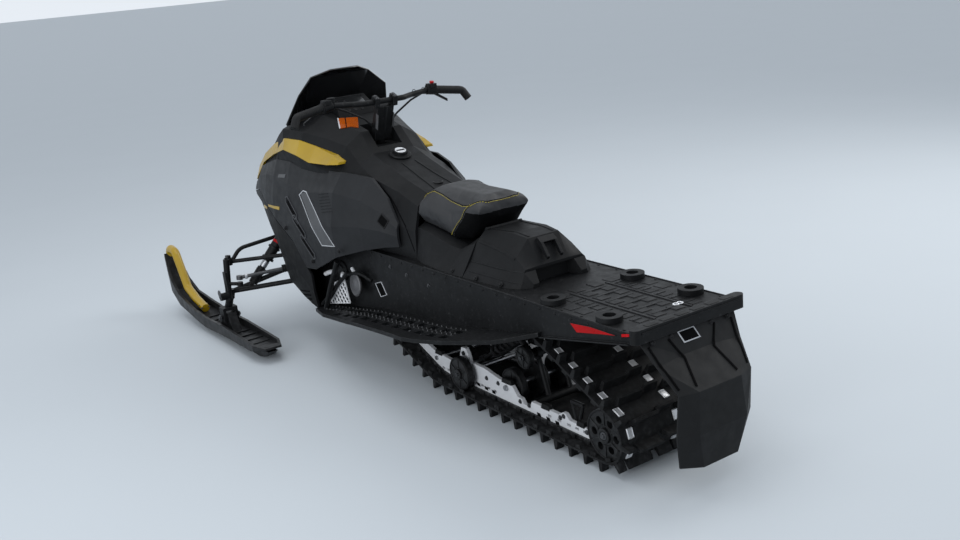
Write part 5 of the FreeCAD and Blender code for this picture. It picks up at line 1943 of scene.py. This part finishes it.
@dataclass
class SkiTrim(Assembly):
    """What turns with one ski: the spindle's nuts, the ski's ribs, bolts and runner studs."""

    body: str = "ski_left"
    side: float = 1.0
    middle: float = 0.5
    pivot: Spot = (0.8825, 0.106)
    pivot_half: float = 0.042
    nut_radius: float = 0.0095
    rib_count: int = 9
    rib_start: float = 0.560
    rib_pitch: float = 0.070
    rib_clear: float = 0.08
    rib_half: float = 0.046
    rib_long: float = 0.008
    rib_edge: float = 0.002
    rib_tall: float = 0.007
    floor_rear: float = 0.050
    floor_front: float = 0.046
    floor_step: float = 0.9
    studs: tuple[float, ...] = (0.64, 0.76, 1.00)
    stud_low: float = 0.020
    stud_high: float = 0.052
    stud_radius: float = 0.006
    loop_bolt: Point = (1.2000, 0.016, 0.078)
    loop_step: Spot = (0.0260, 0.008)
    cap: Outline = ((0, 0), (0, 0.0155), (0.002, 0.0165), (0.004, 0.0150), (0.005, 0))
    cap_at: Point = (0.8465, 0.5400, 0.2270)

    def own(self, finish: Finish, piece: Piece) -> None:
        """Keeps a left piece, or its mirror image on the right ski.

        Args:
            finish: its surface.
            piece: the piece, made on the left.
        """
        if self.side < 0:
            with shaping(piece):
                bpy.ops.transform.resize(value=(1.0, -1.0, 1.0), center_override=(0.0, 0.0, 0.0))
        settle(piece, f"{piece.name.split('.')[0]}_{'left' if self.side > 0 else 'right'}")
        self.keep(finish, piece)

    def build(self) -> None:
        """Builds every piece."""
        y = self.middle
        x, z = self.pivot
        ends = [((x, y + side * self.pivot_half, z), (0, side, 0)) for side in (1, -1)]
        self.own(DARK_STEEL, bolts("ski_nuts", ends, self.nut_radius))
        places = [self.rib_start + self.rib_pitch * i for i in range(self.rib_count)]
        ribs = [self.floor_rib(place) for place in places if abs(place - x) > self.rib_clear]
        self.own(SKI, joined("ski_ribs", ribs))
        studs = []
        for place in self.studs:
            low, high = (place, y, self.stud_low), (place, y, self.stud_high)
            studs.append(drum("stud", low, high, self.stud_radius, 0.001, sides=8))
        self.own(DARK_STEEL, joined("runner_studs", studs))
        self.own(DARK_STEEL, bolts("loop_bolts", self.loop_spots(), 0.0045))
        self.own(DARK_STEEL, turned("knuckle_cap", self.cap, self.cap_at, (0, 1, 0)))

    def loop_spots(self) -> list[tuple[Point, Point]]:
        """Gives the place and direction of each bolt in the loop's foot."""
        x, aside, z = self.loop_bolt
        along, rise = self.loop_step
        return [((x + along * i, self.middle + side * aside, z + rise * i), (-0.25, 0, 1))
                for i in range(2) for side in (1, -1)]

    def floor_rib(self, x: float) -> Piece:
        """Makes one rib across the ski's channel.

        Args:
            x: its place.

        Returns:
            The rib.
        """
        floor = self.floor_rear if x < self.floor_step else self.floor_front
        low = (x, self.middle - self.rib_half, floor - self.rib_edge)
        high = (x + self.rib_long, self.middle + self.rib_half, floor + self.rib_tall)
        return block("rib", low, high, self.rib_edge)


@dataclass
class Boards(Assembly):
    """Traction teeth along the running boards, and the open side's frame work."""

    half: float = 0.208
    slope: Outline = ((-0.9355, 0.371), (-0.5855, 0.316), (-0.1025, 0.270), (0.390, 0.192))
    tooth_rows: tuple[tuple[float, float, float], ...] = (
        (0.0375, -0.70, 0.37), (0.0815, -0.70, 0.33), (0.0970, -0.70, 0.10))
    pitch: float = 0.031
    tooth_foot: float = 0.0036
    tooth_top: float = 0.0014
    tooth_tall: float = 0.006
    tooth_lift: float = 0.0022
    frame_bars: tuple[tuple[tuple[Point, ...], float], ...] = (
        (((0.389, 0.262, 0.202), (0.262, 0.262, 0.290), (0.134, 0.250, 0.388)), 0.0085),
        (((0.150, 0.248, 0.374), (0.060, 0.236, 0.392), (-0.010, 0.222, 0.372)), 0.0070),
    )
    guard_corners: tuple[Point, Point, Point] = (
        (0.3525, 0.245, 0.2083), (0.1839, 0.245, 0.3496), (0.1580, 0.245, 0.2513))
    guard_size: float = 0.20
    guard_wire: float = 0.0080
    guard_rim: float = 0.0026
    cover: Outline = (
        (0, 0), (0, 0.046), (0.008, 0.048), (0.012, 0.042), (0.010, 0.030), (0.014, 0.022), (0.015, 0))
    cover_at: Point = (0.1007, 0.232, 0.3380)
    cover_way: Point = (0.05, 1.0, 0.10)
    hub: Outline = ((0, 0), (0, 0.044), (0.006, 0.042), (0.008, 0.030), (0.014, 0.026), (0.016, 0))
    hub_place: Spot = (0.2575, 0.362)
    hub_lift: float = 0.0004
    long_arm: tuple[Point, ...] = ((0.392, 0.226, 0.328), (0.350, 0.226, 0.343), (0.300, 0.226, 0.356))
    long_arm_radius: float = 0.0100
    short_arms: tuple[tuple[tuple[Point, ...], float], ...] = (
        (((0.168, 0.256, 0.380), (0.176, 0.256, 0.364)), 0.0075),
        (((0.276, 0.250, 0.308), (0.236, 0.252, 0.328)), 0.0060),
        (((0.118, 0.236, 0.404), (0.100, 0.240, 0.396)), 0.0070),
    )

    def top_at(self, x: float) -> float:
        """Gives the height of the board's top.

        Args:
            x: the place along the sled.

        Returns:
            The height.
        """
        for (x0, z0), (x1, z1) in zip(self.slope, self.slope[1:]):
            if x <= x1:
                return z0 + (z1 - z0) * (x - x0) / (x1 - x0)
        return self.slope[-1][1]

    def build(self) -> None:
        """Builds every piece."""
        choose()
        bpy.ops.mesh.primitive_cone_add(vertices=4, radius1=self.tooth_foot, radius2=self.tooth_top,
                                        depth=self.tooth_tall, location=(0, 0, self.tooth_lift))
        tooth = settle(bpy.context.object, "tooth", 0.3)
        moves = []
        for reach, rear, front in self.tooth_rows:
            for i in range(int((front - rear) / self.pitch)):
                x = rear + self.pitch * i
                moves.append(Matrix.Translation((x, self.half + reach, self.top_at(x))))
        self.pair(RIB_PLASTIC, repeated("board_teeth", tooth, moves))
        self.opening()

    def opening(self) -> None:
        """Fills the open side below the panel: frame tubes, a guard, a round cover and small arms."""
        bars = [tube("bar", line, radius) for line, radius in self.frame_bars]
        self.pair(SLED_BLACK, joined("side_frame", bars))
        self.pair(WHITE_TRIM, self.guard())
        self.pair(ENGINE, turned("side_cover", self.cover, self.cover_at, self.cover_way, 32))
        x, z = self.hub_place
        hub = turned("drive_cover", self.hub, (x, self.half + self.hub_lift, z), (0, 1, 0), 32)
        self.pair(SLED_BLACK, hub)
        arms = [tube("arm", self.long_arm, self.long_arm_radius)]
        arms += [tube("arm", line, radius, soft=False) for line, radius in self.short_arms]
        self.pair(WHITE_TRIM, joined("side_arms", arms))

    def guard(self) -> Piece:
        """Cuts the perforated three-cornered guard from a lattice.

        Returns:
            The guard.
        """
        a, b, c = (Vector(corner) for corner in self.guard_corners)
        middle = (a + b + c) / 3
        choose()
        bpy.ops.mesh.primitive_grid_add(x_subdivisions=8, y_subdivisions=11, size=self.guard_size)
        piece = bpy.context.object
        along = (b - a).normalized()
        out = along.cross(c - a).normalized()
        axes = Matrix((along, out.cross(along), out)).transposed()
        piece.matrix_world = Matrix.LocRotScale(middle, axes, None)
        settle(piece, "guard")
        with shaping(piece):
            for start, end in ((a, b), (b, c), (c, a)):
                away = (end - start).cross(out).normalized()
                away = away if away.dot(start - middle) > 0 else -away
                bpy.ops.mesh.select_all(action="SELECT")
                bpy.ops.mesh.bisect(plane_co=start, plane_no=away, clear_outer=True)
        modify(piece, "WIREFRAME", thickness=self.guard_wire, use_even_offset=False)
        rim = tube("guard_rim", [a, b, c], self.guard_rim, soft=False, closed=True)
        return joined("side_guard", [piece, rim])


@dataclass(frozen=True)
class Lamp:
    """A soft area lamp."""

    name: str
    spot: Point
    aim: Point
    size: float
    power: float
    color: Color

    def hang(self) -> None:
        """Adds the lamp, facing its aim."""
        data = bpy.data.lights.new(self.name, "AREA")
        data.size = self.size
        data.energy = self.power
        data.color = self.color
        lamp = bpy.data.objects.new(self.name, data)
        lamp.location = self.spot
        lamp.rotation_euler = (Vector(self.aim) - Vector(self.spot)).to_track_quat("-Z", "Y").to_euler()
        bpy.context.scene.collection.objects.link(lamp)


@dataclass
class Shoot:
    """The camera at the photograph's place, soft light and a plain floor."""

    eye: Point = (-3.543479, 2.034953, 1.498508)
    right: Point = (-0.5694068, -0.8163846, -0.0945974)
    down: Point = (-0.1739039, 0.2320664, -0.9570135)
    ahead: Point = (0.8034509, -0.5283430, -0.2741832)
    lens: float = 39.2884
    sensor: float = 36.0
    lamps: tuple[Lamp, ...] = (
        Lamp("key", (-1.2, -4.2, 3.6), (0.2, 0.0, 0.5), 3.0, 105.0, (1.0, 0.99, 0.97)),
        Lamp("fill", (-1.8, 4.4, 1.5), (-0.4, 0.0, 0.2), 3.0, 95.0, (0.97, 0.985, 1.0)),
        Lamp("top", (0.2, 0.4, 4.6), (0.2, 0.0, 0.3), 3.2, 60.0, (1.0, 1.0, 1.0)),
    )
    sky_color: Color = (0.82, 0.87, 0.93)
    sky_strength: float = 0.98
    floor_color: Color = (0.455, 0.490, 0.520)
    floor_size: float = 600.0
    floor_drop: float = 0.0005
    floor_rough: float = 0.85

    def build(self) -> None:
        """Adds the camera, the lamps, the sky and the floor."""
        scene = bpy.context.scene
        data = bpy.data.cameras.new("camera")
        data.lens = self.lens
        data.sensor_width = self.sensor
        camera = bpy.data.objects.new("camera", data)
        rows = [(self.right[i], -self.down[i], -self.ahead[i], self.eye[i]) for i in range(3)]
        camera.matrix_world = Matrix([*rows, (0, 0, 0, 1)])
        scene.collection.objects.link(camera)
        scene.camera = camera
        scene.view_settings.view_transform = "Standard"
        for lamp in self.lamps:
            lamp.hang()
        self.sky()
        self.floor()

    def sky(self) -> None:
        """Sets an even pale sky."""
        world = bpy.data.worlds.new("sky")
        world.use_nodes = True
        background = world.node_tree.nodes["Background"]
        background.inputs[0].default_value = (*self.sky_color, 1.0)
        background.inputs[1].default_value = self.sky_strength
        bpy.context.scene.world = world

    def floor(self) -> None:
        """Adds the plain pale floor."""
        bpy.ops.mesh.primitive_plane_add(size=self.floor_size, location=(0, 0, -self.floor_drop))
        floor = bpy.context.object
        floor.name = "floor"
        g = Graph("floor")
        place = g.put("ShaderNodeTexCoord", {}).outputs["Object"]
        tone = g.blend(g.noise(place, 1.5, 2.0), self.floor_color, tuple(c * 0.97 for c in self.floor_color))
        shader = g.put("ShaderNodeBsdfPrincipled", {"Base Color": tone, "Roughness": self.floor_rough})
        g.put("ShaderNodeOutputMaterial", {0: shader.outputs[0]})
        floor.data.materials.append(g.material)


def dress_frame() -> None:
    """Gives each CAD node the finish of its slot."""
    finishes = {finish.slot: finish for finish in NODE_FINISHES}
    slots = {row["node"]: row["material_slot"] for row in frame["record"]["subparts"]}
    for name, part in frame["nodes"].items():
        OWN_FINISHES.get(name, finishes[slots[name]]).dress(part)


def main() -> None:
    """Builds the scene, piece by piece."""
    logging.basicConfig(level=logging.INFO, format="%(message)s")
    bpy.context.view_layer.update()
    bpy.ops.object.select_all(action="DESELECT")
    dress_frame()
    for assembly in (Seat(), SidePanels(), Nose(), Dash(), Screen(), Controls(), StorageCase(), Tunnel(),
                     Rear(), Track(), Skid(), FrontEnd(), Boards()):
        assembly.build()
    Shoot().build()


if __name__ == "__main__":
    main()
